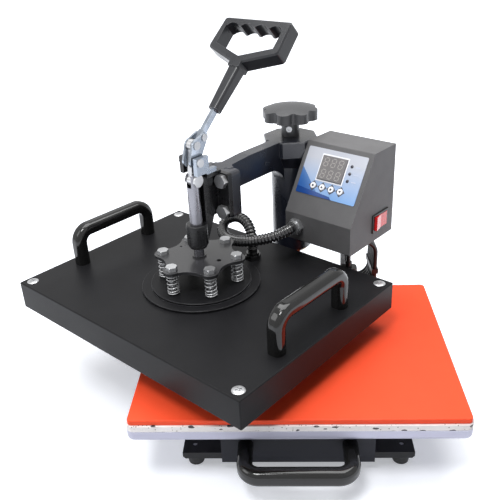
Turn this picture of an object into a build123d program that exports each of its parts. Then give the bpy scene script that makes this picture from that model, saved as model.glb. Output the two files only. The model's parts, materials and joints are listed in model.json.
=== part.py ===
"""Combo heat press: a swing-away press with a sprung upper platen and a toggle clamp.

The head is modelled closed over the lower platen and then swung open about the post.
X runs to the right of the press, Y away from the user and Z up from the table.
"""
from build123d import *
from math import atan2, ceil, cos, degrees, pi, radians, sin, sqrt, tan
from copy import copy
import os

# Lower platen stack, which sets the size of the press
PAD_W = 380.0
PAD_D = 290.0
PAD_T = 6.7
PAD_CORNER_R = 5.0
FOAM_W = 384.0
FOAM_D = 294.0
FOAM_T = 7.8
TRAY_T = 14.2
TRAY_EDGE_R = 6.0
TRAY_CORNER_R = 9.0

# Base
FOOT_H = 16.0
FOOT_TOP_R = 11.0
FOOT_BOTTOM_R = 9.5
FOOT_RECESS_R = 5.5
FOOT_RECESS_H = 7.0
BAR_W = 272.0
FOOT_INSET = 13.5
BAR_D = 30.0
BAR_T = 9.0
BAR_CHAMFER = 3.0
BEAM_W = 178.0
BEAM_H = 41.3
BEAM_WALL = 3.0
BEAM_FRONT = -121.0
BEAM_REAR = 238.0
BEAM_EDGE_R = 5.0
FRONT_PLATE_T = 6.0

# Post and its flange
POST_Y = 191.5
POST_R = 19.0
POST_TOP = 285.0
POST_CHAMFER = 2.0
FLANGE_R = 44.0
FLANGE_T = 10.0
FLANGE_NECK_R = 27.0
FLANGE_NECK_H = 14.0
FLANGE_FILLET = 0.8
FLANGE_BOLT_R = 35.8

# Bushes between the post and the hub of the arm
FIT = 0.05
HOLE_GAP = 0.1
BUSH_WALL = 3.0
BUSH_H = 30.0
BUSH_LIP = 3.0
BUSH_LIP_T = 3.0

# Swing arm casting
HUB_R = 28.0
HUB_BOTTOM = 145.3
HUB_HEAD_FLATS = 72.0
HUB_HEAD_T = 22.0
HUB_FLARE_H = 17.0
ARM_TOP = 311.5
ARM_NOSE_DROP = 3.5
ARM_RISE_Y = 95.0
WEB_T = 17.5
ARCH_TOP = 275.5
ARCH_FRONT_R = 17.0
ARCH_REAR_R = 30.0
LEG_FRONT = 40.5
LEG_T = 16.0
LEG_W = 54.0
LEG_BOTTOM = 247.0
LEG_CORNER_R = 5.0
WEB_ROOT_R = 7.0
CAST_EDGE = 1.5
CAST_PAD_L = 9.0
CAST_PAD_BACK = 62.0
CAST_PAD_RISE = 14.0
CAST_PAD_H = 4.0
CAST_PAD_T = 1.2

# Pressure screw and knob
SCREW_R = 8.0
SCREW_DEPTH = 40.0
SCREW_GAP = 0.3
KNOB_R = 38.5
KNOB_LOBES = 8
KNOB_LOBE_R = 11.5
KNOB_BOTTOM = 335.5
KNOB_RIM_H = 13.0
KNOB_DOME_H = 6.5
KNOB_NECK_R = 12.5
SET_SCREW_R = 4.0
SET_SCREW_LEAN = 31.0

# Toggle clamp, drawn in the plane that holds the plunger
TOGGLE_PIVOT_Z = 330.0
TOGGLE_PIN_Z = 306.0
CRANK_R = 19.04
CRANK_LEAN = 13.7
LINK_EYE_R = 7.0
LINK_HALF_T = 3.4
LINK_WAIST = 10.0
PLATE_GAP = 4.2
YOKE_T = 3.0
EAR_T = 6.0
EAR_FRONT = -5.5
EAR_REAR = 14.5
EAR_BOTTOM = 314.2
EAR_TOP = 335.5
EAR_FOOT_REAR = 27.0
EAR_FOOT_TOP = 318.0
EAR_CLEAR = 1.5
EAR_R = 8.0
PIN_R = 3.0
PLUNGER_R = 8.0
STUB_R = 6.5
STUD_R = 5.0
COLLAR_R = 13.5
COLLAR_BOTTOM = 216.0
COLLAR_TOP = 248.0
CLAMP_PLATE_W = 54.0
CLAMP_PLATE_T = 7.0
CLAMP_PLATE_BOTTOM = 250.0
CLAMP_PLATE_TOP = 308.0
CLAMP_WEB_HALF = 8.0
CLAMP_WEB_FRONT = 9.5
CLAMP_WEB_TOP = 312.0
CLAMP_BOLT_X = 17.5
CLAMP_SHELF_T = 4.5
CLAMP_BOLT_Z = (257.0, 298.0)

# Lever and hand grip
LEVER_LEAN = 47.0
LEVER_OFFSET = 6.0
BAR_START = 24.5
BAR_ROOT_END = 38.0
BAR_END = 86.0
BAR_WIDTH = 8.0
BAR_THICK = 5.0
RIVET_AT = 30.5
YOKE_REACH = 31.5
GRIP_START = 67.5
GRIP_STEM = 64.5
GRIP_LENGTH = 127.0
GRIP_DEPTH = 19.0
GRIP_STEM_W = 17.5
GRIP_FOOT_W = 14.0
GRIP_STEM_EDGE = 4.0
GRIP_TOP_W = 107.0
GRIP_LOW_W = 113.0
GRIP_LOW = 81.5
GRIP_WALL = 8.0
GRIP_GROOVES = 4
GRIP_GROOVE_DEPTH = 4.5
GRIP_EDGE = 2.0

# Sprung head
HEAD_W = 395.0
HEAD_D = 293.5
HEAD_H = 36.9
COVER_WALL = 1.2
COVER_EDGE_R = 1.6
HEAD_GAP = 31.4
HEATER_GAP_X = 7.5
HEATER_GAP_Y = 6.75
HEATER_T = 18.0
HEATER_DROP = 2.0
WOOL_T = 12.0
CORNER_INSET = 12.6
CAP_R = 7.5
CAP_T = 1.6
SPACER_R = 5.0
LOWER_DISC_R = 77.0
LOWER_DISC_T = 3.7
UPPER_DISC_R = 65.0
UPPER_DISC_T = 3.0
SPRING_PITCH_R = 48.5
SPRING_COUNT = 6
SPRING_GAP = 29.0
SPRING_R = 7.0
SPRING_WIRE_R = 0.8
SPRING_TURNS = 5
SPIDER_T = 4.0
SPIDER_LOBE_R = 11.0
SPIDER_WAIST_R = 44.5
SPIDER_BOSS_R = 9.0
SPIDER_BOSS_H = 2.0
SPIDER_HOLES = ((29.4, 5.3, 3.2), (-37.9, 4.0, 1.6))
SPRING_BOLT_R = 4.0

# Handles on the head and on the base
HANDLE_LENGTH = 138.0
HANDLE_HEIGHT = 56.0
HANDLE_W = 20.0
HANDLE_T = 18.0
HANDLE_SECTION_R = 7.5
HANDLE_BEND_R = 17.0
HANDLE_INSET = 23.0

# Control box
BOX_X = 36.3
BOX_W = 104.6
BOX_FRONT = 132.0
BOX_SLOPE_TOP = 184.7
BOX_REAR = 235.8
BOX_BOTTOM = 188.5
BOX_SLOPE_BOTTOM = 227.6
BOX_TOP = 312.6
BOX_WALL = 1.5
BOX_EDGE_R = 2.0
BOX_COVER_T = 1.5
COVER_SCREW_R = 1.5
COVER_SCREW_INSET = 8.0
COVER_TAB = 14.0
BOARD_H = 72.0
LABEL_T = 0.6
LABEL_MARGIN_X = 6.0
LABEL_LOW = 29.0
LABEL_HIGH = 93.3
DISPLAY_X = 51.5
DISPLAY_V = 68.4
DISPLAY_W = 38.5
DISPLAY_H = 33.0
DISPLAY_T = 2.4
BUTTON_X = (30.4, 44.6, 58.8, 73.0)
BUTTON_V = 42.4
BUTTON_R = 4.2
BUTTON_GAP = 0.35
BUTTON_PROUD = 1.8
BUTTON_STEM = 6.0
BUTTON_TRAVEL = 1.5
LED_X = 78.5
LED_V = (58.1, 67.9, 77.7)
LED_R = 1.6
ROCKER_Y = 202.5
ROCKER_Z = 214.5
ROCKER_L = 30.0
ROCKER_H = 19.0
ROCKER_PIVOT_DEPTH = 1.0
BEZEL_L = 38.0
BEZEL_H = 26.0
BEZEL_T = 2.0

# Heater hose: its route and its ribs
HOSE_R = 7.5
HOSE_ROOT_R = 6.4
HOSE_BORE_R = 5.2
HOSE_RIB_PITCH = 5.6
GLAND_R = 11.0
GLAND_H = 10.0
HOSE_X = 55.0
HOSE_Z = 210.0
HOSE_HEAD_X = 9.5
HOSE_HEAD_Y = 91.4

# Mains cord, folded in a hank under the control box
CORD_R = 3.15
CORD_LEAD = 7.0
RELIEF_L = 17.0
RELIEF_LEAD = 12.0
HANK_TURNS = 7
HANK_PITCH = 6.9
HANK_FOLD_R = 19.5
HANK_RUN = 37.0
HANK_X = 105.0
HANK_Y = 210.6
HANK_Z = 143.0
HANK_YAW = 42.3
PLUG_OFFSET = 6.6
PLUG_RELIEF_L = 10.0
PLUG_W = 23.0
PLUG_D = 17.0
PLUG_L = 24.0
TIE_H = 7.0
TIE_DROP = 10.0

# Fasteners
M10_R = 5.0
M10_FLATS = 16.0
M10_HEAD = 6.4
M8_R = 4.0
M8_FLATS = 13.0
M8_HEAD = 5.3
M5_R = 2.5
M5_HEAD_R = 4.6
M5_HEAD = 3.0
SHORT_BOLT = 14.0

# Rest pose
SWING_AT_REST = -38.7
CORDS = ("mains_cord_hank", "mains_plug")

# Heights and places that follow from the sizes above
BAR_BOTTOM = FOOT_H
BAR_TOP = BAR_BOTTOM + BAR_T
TRAY_BOTTOM = BAR_TOP + BEAM_H
FOAM_BOTTOM = TRAY_BOTTOM + TRAY_T
PAD_BOTTOM = FOAM_BOTTOM + FOAM_T
PAD_TOP = PAD_BOTTOM + PAD_T
COVER_BOTTOM = PAD_TOP + HEAD_GAP
COVER_TOP = COVER_BOTTOM + HEAD_H
UPPER_DISC_TOP = COVER_TOP + LOWER_DISC_T + UPPER_DISC_T
SPIDER_BOTTOM = UPPER_DISC_TOP + SPRING_GAP
SPIDER_TOP = SPIDER_BOTTOM + SPIDER_T
BUSH_R = POST_R + FIT + BUSH_WALL
HUB_BORE_R = BUSH_R + FIT
HEATER_BOTTOM = COVER_BOTTOM - HEATER_DROP
WOOL_BOTTOM = HEATER_BOTTOM + HEATER_T
EAR_INNER = PLATE_GAP + YOKE_T + EAR_CLEAR
YOKE_OUTER = PLATE_GAP + YOKE_T
BOX_RIGHT = BOX_X + BOX_W
FOOT_X = BAR_W / 2 - FOOT_INSET
HANDLE_X = HEAD_W / 2 - HANDLE_INSET
HEATER_W = HEAD_W - 2 * HEATER_GAP_X
HEATER_D = HEAD_D - 2 * HEATER_GAP_Y

STANDING = (Align.CENTER, Align.CENTER, Align.MIN)
HANGING = (Align.CENTER, Align.CENTER, Align.MAX)
parts = {}


def block(x0, x1, y0, y1, z0, z1):
    """A box between two corners."""
    return Pos((x0 + x1) / 2, (y0 + y1) / 2, (z0 + z1) / 2) * Box(x1 - x0, y1 - y0, z1 - z0)


def rod(x, y, z0, z1, r):
    """An upright cylinder."""
    return Pos(x, y, (z0 + z1) / 2) * Cylinder(r, z1 - z0)


def rod_x(y, z, x0, x1, r):
    """A cylinder that lies along X."""
    return Pos((x0 + x1) / 2, y, z) * Rot(0, 90, 0) * Cylinder(r, x1 - x0)


def rod_y(x, z, y0, y1, r):
    """A cylinder that lies along Y."""
    return Pos(x, (y0 + y1) / 2, z) * Rot(90, 0, 0) * Cylinder(r, y1 - y0)


def rounded_slab(width, depth, z0, z1, corner, y=0.0):
    """A flat plate with rounded upright corners."""
    face = Plane.XY.offset(z0) * Pos(0, y) * RectangleRounded(width, depth, corner)
    return extrude(face, z1 - z0)


def hexagon(flats):
    """A hexagon of a given width across flats."""
    return RegularPolygon(flats / 2, 6, major_radius=False)


def side_plate(outline, x0, x1):
    """A plate whose outline lies in the YZ plane, between two X values."""
    face = Plane.YZ.offset(x0) * outline
    return extrude(face, x1 - x0)


def polar(radius, lean):
    """A point in the YZ plane, at an angle from +Z towards +Y."""
    return radius * sin(radians(lean)), radius * cos(radians(lean))


def group(*solids):
    """Separate solids in one node."""
    return Compound(children=[one for solid in solids for one in solid.solids()])


def hex_bolt(flats, head, shank_r, length):
    """A bolt with its head's underside at the origin and its shank along -Z."""
    cap = extrude(hexagon(flats), head) & Cone(flats, flats * 0.35, head * 1.4, align=STANDING)
    return cap + Pos(0, 0, -length / 2) * Cylinder(shank_r, length)


def pan_screw(head_r, head, shank_r, length):
    """A round-headed screw with its head's underside at the origin and its shank along -Z."""
    cap = Pos(0, 0, head / 2) * Cylinder(head_r, head)
    cap = fillet(cap.edges().group_by(Axis.Z)[-1], head * 0.4)
    return cap + Pos(0, 0, -length / 2) * Cylinder(shank_r, length)


def biarc(start, start_dir, end, end_dir):
    """Two arcs that leave and meet two points along given directions."""
    gap = end - start
    both = start_dir + end_dir
    a = 2 * (1 - start_dir.dot(end_dir))
    b = 2 * gap.dot(both)
    reach = gap.dot(gap) / b if a < 1e-9 else (-b + sqrt(b * b + 4 * a * gap.dot(gap))) / (2 * a)
    first = start + start_dir * reach
    last = end - end_dir * reach
    joint = (first + last) * 0.5
    across = (last - first).normalized()
    return [TangentArc(start, joint, tangent=start_dir), TangentArc(joint, end, tangent=across)]


def seat(node, shape, swung=False):
    """Keeps a piece under its node's name, swung with the head if it rides on the arm."""
    if swung:
        shape = shape.rotate(Axis((0, POST_Y, 0), (0, 0, 1)), SWING_AT_REST)
    parts[node] = shape


def platen_stack():
    """Aluminium tray, foam sheet and silicone sheet."""
    tray = rounded_slab(FOAM_W, FOAM_D, TRAY_BOTTOM, FOAM_BOTTOM, TRAY_CORNER_R)
    tray = fillet(tray.edges().group_by(Axis.Z)[0], TRAY_EDGE_R)
    for x, y in screw_places():
        tray -= rod(x, y, TRAY_BOTTOM, FOAM_BOTTOM, M8_R + HOLE_GAP)
        tray -= rod(x, y, FOAM_BOTTOM - M8_HEAD - 0.5, FOAM_BOTTOM, M8_FLATS / 2 + 2.5)
    seat("lower_platen", tray)
    seat("foam_pad", rounded_slab(FOAM_W, FOAM_D, FOAM_BOTTOM, PAD_BOTTOM, TRAY_CORNER_R))
    seat("silicone_pad", rounded_slab(PAD_W, PAD_D, PAD_BOTTOM, PAD_TOP, PAD_CORNER_R))


def screw_places():
    """Where the tray is bolted down to the beam."""
    x = BEAM_W / 2 - 22
    return [(sx * x, y) for sx in (-1, 1) for y in (BEAM_FRONT + 35, FOAM_D / 2 - 35)]


def flange_places():
    """Where the post's flange is bolted down."""
    turns = [radians(45 + 90 * k) for k in range(4)]
    return [(FLANGE_BOLT_R * cos(a), POST_Y + FLANGE_BOLT_R * sin(a)) for a in turns]


def bar_centres():
    """Y of the middle of each cross bar."""
    return BEAM_FRONT + BAR_D / 2, BEAM_REAR - BAR_D / 2


def base_frame():
    """Box beam, its front plate, and the two cross bars."""
    width = BEAM_W / 2
    beam = block(-width, width, BEAM_FRONT, BEAM_REAR, BAR_TOP, TRAY_BOTTOM)
    beam = fillet(beam.edges().filter_by(Axis.Y), BEAM_EDGE_R)
    inner = block(-width + BEAM_WALL, width - BEAM_WALL, BEAM_FRONT, BEAM_REAR - BEAM_WALL,
                  BAR_TOP + BEAM_WALL, TRAY_BOTTOM - BEAM_WALL)
    beam -= fillet(inner.edges().filter_by(Axis.Y), BEAM_EDGE_R - BEAM_WALL)
    for x, y in screw_places():
        beam -= rod(x, y, TRAY_BOTTOM - BEAM_WALL, TRAY_BOTTOM, M8_R + HOLE_GAP)
    for x, y in flange_places():
        beam -= rod(x, y, TRAY_BOTTOM - BEAM_WALL, TRAY_BOTTOM, M8_R + HOLE_GAP)
    beam -= rod(0, POST_Y, TRAY_BOTTOM - BEAM_WALL, TRAY_BOTTOM, POST_R)
    seat("base_beam", beam)

    plate = block(-width, width, BEAM_FRONT - FRONT_PLATE_T, BEAM_FRONT, BAR_BOTTOM, TRAY_BOTTOM)
    for x in handle_screw_places():
        plate -= rod_y(x, base_handle_z(), BEAM_FRONT - FRONT_PLATE_T, BEAM_FRONT, M5_R + HOLE_GAP)
    seat("front_plate", plate)

    for node, y in zip(("front_cross_bar", "rear_cross_bar"), bar_centres()):
        bar = block(-BAR_W / 2, BAR_W / 2, y - BAR_D / 2, y + BAR_D / 2, BAR_BOTTOM, BAR_TOP)
        ends = bar.faces().filter_by(Axis.X).edges().group_by(Axis.Z)[0]
        bar = chamfer(ends, BAR_CHAMFER)
        for sx in (-1, 1):
            bar -= rod(sx * FOOT_X, y, BAR_BOTTOM, BAR_TOP, M5_R + HOLE_GAP)
        seat(node, bar)


def feet():
    """Rubber feet with a recess for their screws."""
    pads = []
    for y in bar_centres():
        for sx in (-1, 1):
            pad = Cone(FOOT_BOTTOM_R, FOOT_TOP_R, FOOT_H)
            pad = fillet(pad.edges().group_by(Axis.Z)[0], 1.5)
            pad = Pos(sx * FOOT_X, y, FOOT_H / 2) * pad
            pad -= rod(sx * FOOT_X, y, 0, FOOT_RECESS_H, FOOT_RECESS_R)
            pads.append(pad - rod(sx * FOOT_X, y, FOOT_RECESS_H, FOOT_H, M5_R + HOLE_GAP))
    seat("rubber_feet", group(*pads))


def base_screws():
    """Screws of the feet and of the base handle."""
    screws = []
    length = FOOT_H - FOOT_RECESS_H + BAR_T - 1
    for y in bar_centres():
        for sx in (-1, 1):
            screw = Rot(180, 0, 0) * pan_screw(M5_HEAD_R, M5_HEAD, M5_R, length)
            screws.append(Pos(sx * FOOT_X, y, FOOT_RECESS_H) * screw)
    for x in handle_screw_places():
        screw = Rot(-90, 0, 0) * pan_screw(M5_HEAD_R, M5_HEAD, M5_R, FRONT_PLATE_T + SHORT_BOLT)
        screws.append(Pos(x, BEAM_FRONT, base_handle_z()) * screw)
    seat("base_screws", group(*screws))


def base_bolts():
    """Hexagon bolts of the tray and of the post's flange."""
    bolts = []
    for x, y in screw_places():
        bolt = hex_bolt(M8_FLATS, M8_HEAD, M8_R, SHORT_BOLT)
        bolts.append(Pos(x, y, FOAM_BOTTOM - M8_HEAD - 0.5) * bolt)
    for x, y in flange_places():
        bolts.append(Pos(x, y, TRAY_BOTTOM + FLANGE_T) * hex_bolt(M8_FLATS, M8_HEAD, M8_R, SHORT_BOLT))
    seat("base_bolts", group(*bolts))


def post():
    """Flange, post and the bushes that slide and turn on it."""
    flange = rod(0, POST_Y, TRAY_BOTTOM, TRAY_BOTTOM + FLANGE_T, FLANGE_R)
    flange += rod(0, POST_Y, TRAY_BOTTOM, TRAY_BOTTOM + FLANGE_T + FLANGE_NECK_H, FLANGE_NECK_R)
    flange = fillet(flange.edges().filter_by(GeomType.CIRCLE).group_by(Axis.Z)[1:], FLANGE_FILLET)
    flange -= rod(0, POST_Y, TRAY_BOTTOM, TRAY_BOTTOM + FLANGE_T + FLANGE_NECK_H, POST_R)
    for x, y in flange_places():
        flange -= rod(x, y, TRAY_BOTTOM, TRAY_BOTTOM + FLANGE_T, M8_R + HOLE_GAP)
    seat("post_flange", flange)

    pillar = rod(0, POST_Y, TRAY_BOTTOM - BEAM_WALL, POST_TOP, POST_R)
    pillar = chamfer(pillar.edges().group_by(Axis.Z)[-1], POST_CHAMFER)
    bore = rod(0, POST_Y, POST_TOP - SCREW_DEPTH - 20, POST_TOP, SCREW_R + SCREW_GAP)
    seat("swing_post", pillar - bore)

    lower = rod(0, POST_Y, HUB_BOTTOM, HUB_BOTTOM + BUSH_H, BUSH_R)
    lip = HUB_BOTTOM - FIT
    lower += rod(0, POST_Y, lip - BUSH_LIP_T, lip, BUSH_R + BUSH_LIP)
    lower += rod(0, POST_Y, lip, HUB_BOTTOM, BUSH_R)
    upper = rod(0, POST_Y, POST_TOP - BUSH_H, POST_TOP, BUSH_R)
    bore = rod(0, POST_Y, 0, ARM_TOP, POST_R + FIT)
    seat("swing_bushes", group(lower - bore, upper - bore), swung=True)


def arm_web():
    """The web of the arm, with the arch between its leg and its hub."""
    rear = LEG_FRONT + LEG_T
    nose = ARM_TOP - ARM_NOSE_DROP
    top = Polyline((LEG_FRONT + 2, nose), (ARM_RISE_Y, ARM_TOP), (POST_Y, ARM_TOP), (POST_Y, LEG_BOTTOM),
                   (LEG_FRONT + 2, LEG_BOTTOM), close=True)
    outline = make_face(top)
    opening = Polyline((rear, LEG_BOTTOM - 60), (rear, ARCH_TOP), (POST_Y - HUB_R + 3, ARCH_TOP),
                       (POST_Y - HUB_R + 3, LEG_BOTTOM - 60), close=True)
    opening = make_face(opening)
    corners = opening.vertices().group_by(Axis.Y)[-1].sort_by(Axis.X)
    opening = fillet(corners[0], ARCH_FRONT_R)
    corners = opening.vertices().group_by(Axis.Y)[-1].sort_by(Axis.X)
    opening = fillet(corners[-1], ARCH_REAR_R)
    root = WEB_T / 2 + WEB_ROOT_R
    plan = Pos(0, (LEG_FRONT + POST_Y) / 2) * Rectangle(WEB_T, POST_Y - LEG_FRONT)
    plan += Pos(0, rear) * Rectangle(2 * root, 2 * WEB_ROOT_R)
    for x in (-root, root):
        plan -= Pos(x, rear + WEB_ROOT_R) * Circle(WEB_ROOT_R)
    return side_plate(outline - opening, -root, root) & extrude(Plane.XY * plan, ARM_TOP)


def swing_arm():
    """Casting with a hub on the post, a web, and a leg that carries the clamp."""
    leg = block(-LEG_W / 2, LEG_W / 2, LEG_FRONT, LEG_FRONT + LEG_T, LEG_BOTTOM, ARM_TOP - ARM_NOSE_DROP)
    leg = fillet(leg.edges().filter_by(Axis.Y), LEG_CORNER_R)
    leg = chamfer(leg.edges().group_by(Axis.Y)[-1], CAST_EDGE)
    head_bottom = ARM_TOP - HUB_HEAD_T
    hub = rod(0, POST_Y, HUB_BOTTOM, head_bottom, HUB_R)
    eight = RegularPolygon(HUB_HEAD_FLATS / 2, 8, major_radius=False, rotation=22.5)
    head = extrude(Plane.XY.offset(head_bottom) * Pos(0, POST_Y) * eight, HUB_HEAD_T)
    head = chamfer(head.edges().group_by(Axis.Z)[-1], CAST_EDGE)
    flare = Pos(0, POST_Y, head_bottom - HUB_FLARE_H / 2) * Cone(HUB_R, HUB_HEAD_FLATS / 2, HUB_FLARE_H)
    arm = leg + arm_web() + hub + flare + head
    arm += side_plate(Pos(POST_Y - CAST_PAD_BACK, ARCH_TOP + CAST_PAD_RISE) * Rot(0, 0, -18) * Rectangle(CAST_PAD_L, CAST_PAD_H),
                      WEB_T / 2 - 0.5, WEB_T / 2 + CAST_PAD_T)
    arm -= rod(0, POST_Y, HUB_BOTTOM, POST_TOP + 1, HUB_BORE_R)
    arm -= rod(0, POST_Y, POST_TOP, ARM_TOP, SCREW_R + SCREW_GAP)
    for x in (-CLAMP_BOLT_X, CLAMP_BOLT_X):
        for z in CLAMP_BOLT_Z:
            arm -= rod_y(x, z, LEG_FRONT, LEG_FRONT + LEG_T - 2, M10_R + HOLE_GAP)
    for z in box_screw_heights():
        arm -= rod_x(POST_Y, z, HUB_HEAD_FLATS / 2 - 8, HUB_HEAD_FLATS / 2, M5_R + HOLE_GAP)
    seat("swing_arm", arm, swung=True)


def box_screw_heights():
    """Heights of the two screws that hold the control box to the hub's flat side."""
    return ARM_TOP - HUB_HEAD_T + 6, ARM_TOP - 6


def pressure_knob():
    """Lobed knob with a domed top, its screw and its set screw."""
    rim = Circle(KNOB_R - KNOB_LOBE_R * 0.5)
    for k in range(KNOB_LOBES):
        turn = radians(360 / KNOB_LOBES * (k + 0.5))
        reach = KNOB_R - KNOB_LOBE_R
        rim += Pos(reach * cos(turn), reach * sin(turn)) * Circle(KNOB_LOBE_R)
    body = extrude(Plane.XY.offset(KNOB_BOTTOM) * rim, KNOB_RIM_H + KNOB_DOME_H)
    drop = KNOB_DOME_H
    dome_r = (KNOB_R ** 2 + drop ** 2) / (2 * drop)
    dome = Pos(0, 0, KNOB_BOTTOM + KNOB_RIM_H + KNOB_DOME_H - dome_r) * Sphere(dome_r)
    body &= dome
    neck_bottom = ARM_TOP + 0.3
    body += Pos(0, 0, (neck_bottom + KNOB_BOTTOM) / 2) * Cylinder(KNOB_NECK_R, KNOB_BOTTOM - neck_bottom)
    body -= Pos(0, 0, (neck_bottom + KNOB_BOTTOM + 6) / 2) * Cylinder(SCREW_R, KNOB_BOTTOM + 6 - neck_bottom)
    set_z = (neck_bottom + KNOB_BOTTOM) / 2
    body -= Rot(0, 0, SET_SCREW_LEAN) * rod_y(0, set_z, -KNOB_NECK_R - 1, 0, SET_SCREW_R)
    seat("pressure_knob", Pos(0, POST_Y, 0) * body, swung=True)
    grub = rod_y(0, set_z, -KNOB_NECK_R - 1.5, -SCREW_R, SET_SCREW_R)
    grub -= rod_y(0, set_z, -KNOB_NECK_R - 1.5, -KNOB_NECK_R + 0.5, SET_SCREW_R * 0.5)
    seat("knob_set_screw", Pos(0, POST_Y, 0) * Rot(0, 0, SET_SCREW_LEAN) * grub, swung=True)
    shaft = rod(0, POST_Y, POST_TOP - SCREW_DEPTH, KNOB_BOTTOM + 6, SCREW_R)
    seat("pressure_screw", chamfer(shaft.edges().group_by(Axis.Z)[0], 1.5), swung=True)


def toggle_points():
    """Fixed pivot, crank pin and plunger pin in the YZ plane."""
    dy, dz = polar(CRANK_R, CRANK_LEAN)
    return (0.0, TOGGLE_PIVOT_Z), (dy, TOGGLE_PIVOT_Z + dz), (0.0, TOGGLE_PIN_Z)


def eye_plate(a, b, ra, rb):
    """Outline of a flat link round two pins."""
    return make_hull((Pos(*a) * Circle(ra)).edges() + (Pos(*b) * Circle(rb)).edges())


def ear_outline(foot):
    """Outline of an ear of the lever's pivot, with its foot at a height."""
    return make_face(Polyline((EAR_FRONT, EAR_BOTTOM), (EAR_FRONT, EAR_TOP), (EAR_REAR, EAR_TOP),
                              (EAR_REAR, EAR_FOOT_TOP), (EAR_FOOT_REAR, EAR_FOOT_TOP), (EAR_FOOT_REAR, foot),
                              (EAR_REAR - 3, foot), (EAR_REAR - 5, EAR_BOTTOM), close=True))


def clamp_body():
    """Casting of the clamp: base plate, guide collar and the two ears of the lever's pivot."""
    pivot = toggle_points()[0]
    rear = LEG_FRONT
    front = rear - CLAMP_PLATE_T
    body = block(-CLAMP_PLATE_W / 2, CLAMP_PLATE_W / 2, front, rear, CLAMP_PLATE_BOTTOM, CLAMP_PLATE_TOP)
    body = fillet(body.edges().filter_by(Axis.Y), 3)
    web = Polyline((front + 1, CLAMP_PLATE_BOTTOM + 3), (front - 9, CLAMP_PLATE_BOTTOM + 3),
                   (COLLAR_R + 4, COLLAR_BOTTOM + 20), (COLLAR_R - 2, COLLAR_BOTTOM + 8),
                   (0, COLLAR_BOTTOM + 8), (0, COLLAR_TOP - 4), (CLAMP_WEB_FRONT, COLLAR_TOP - 4),
                   (CLAMP_WEB_FRONT, CLAMP_WEB_TOP), (front + 1, CLAMP_WEB_TOP), close=True)
    body += side_plate(make_face(web), -CLAMP_WEB_HALF, CLAMP_WEB_HALF)
    collar = rod(0, 0, COLLAR_BOTTOM, COLLAR_TOP, COLLAR_R)
    collar = chamfer(collar.edges().group_by(Axis.Z)[0], 5, 2.5)
    body += fillet(collar.edges().group_by(Axis.Z)[-1], 1.2)
    outer = EAR_INNER + EAR_T
    body += block(-outer, outer, CLAMP_WEB_FRONT + 1.5, front + 1, CLAMP_WEB_TOP - CLAMP_SHELF_T, CLAMP_WEB_TOP)
    body += side_plate(ear_outline(CLAMP_WEB_TOP - 0.5), -outer, -EAR_INNER)
    body += side_plate(ear_outline(CLAMP_WEB_TOP - 0.5), EAR_INNER, outer)
    body -= rod(0, 0, COLLAR_BOTTOM, COLLAR_TOP, PLUNGER_R + FIT)
    body -= rod_x(*pivot, -EAR_INNER - EAR_T, EAR_INNER + EAR_T, PIN_R + FIT)
    for x in (-CLAMP_BOLT_X, CLAMP_BOLT_X):
        for z in CLAMP_BOLT_Z:
            body -= rod_y(x, z, front, rear, M10_R + HOLE_GAP)
    seat("clamp_body", body, swung=True)

    bolt = Rot(90, 0, 0) * hex_bolt(M10_FLATS, M10_HEAD, M10_R, CLAMP_PLATE_T + LEG_T - 3)
    seat("clamp_bolts", group(*[Pos(x, front, z) * bolt for x in (-CLAMP_BOLT_X, CLAMP_BOLT_X)
                                for z in CLAMP_BOLT_Z]), swung=True)

    pin = rod_x(*pivot, PLATE_GAP, outer, PIN_R) + rod_x(*pivot, outer, outer + 2, PIN_R + 2)
    seat("lever_pins", group(pin, mirror(pin, about=Plane.YZ)), swung=True)


def plunger():
    """Chromed plunger, its pin, and the link that drives it."""
    crank, pin = toggle_points()[1:]
    top = pin[1] + PLUNGER_R
    collar_end = COLLAR_BOTTOM + 1
    boss_top = SPIDER_TOP + SPIDER_BOSS_H
    shaft = rod(0, 0, collar_end, top, PLUNGER_R)
    shaft = fillet(shaft.edges().group_by(Axis.Z)[-1], 2)
    shaft += rod(0, 0, boss_top, collar_end, STUB_R)
    shaft += rod(0, 0, SPIDER_BOTTOM - M10_HEAD - 2, boss_top, STUD_R)
    shaft -= block(-LINK_HALF_T - 0.3, LINK_HALF_T + 0.3, -20, 20, pin[1] - LINK_EYE_R - 1.5, top)
    shaft -= rod_x(0, pin[1], -PLUNGER_R, PLUNGER_R, PIN_R + FIT)
    seat("plunger", shaft, swung=True)

    reach = PLUNGER_R + 0.1
    bolt = rod_x(0, pin[1], -reach - 1.5, reach + 2.5, PIN_R)
    bolt += rod_x(0, pin[1], reach, reach + 2.5, PLUNGER_R - 0.6)
    bolt += rod_x(0, pin[1], -reach - 1.5, -reach, PIN_R + 2)
    seat("plunger_pin", bolt, swung=True)

    bar = eye_plate(pin, crank, LINK_WAIST / 2, LINK_WAIST / 2)
    bar += Pos(*pin) * Circle(LINK_EYE_R) + Pos(*crank) * Circle(LINK_EYE_R)
    bar -= Pos(*pin) * Circle(PIN_R + FIT)
    bar -= Pos(*crank) * Circle(PIN_R + FIT)
    seat("toggle_link", side_plate(bar, -LINK_HALF_T, LINK_HALF_T), swung=True)


def lever_point(along, across=0.0):
    """A point on the lever, in the YZ plane, measured from its fixed pivot and from the bar's midline."""
    y, z = polar(along, LEVER_LEAN)
    dy, dz = polar(across + LEVER_OFFSET, LEVER_LEAN - 90)
    return y + dy, TOGGLE_PIVOT_Z + z + dz


def bar_outline(start, end):
    """Side outline of a length of the lever's flat bar."""
    half = BAR_WIDTH / 2
    return make_face(Polyline(lever_point(start, -half), lever_point(end, -half), lever_point(end, half),
                              lever_point(start, half), close=True))


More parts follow.
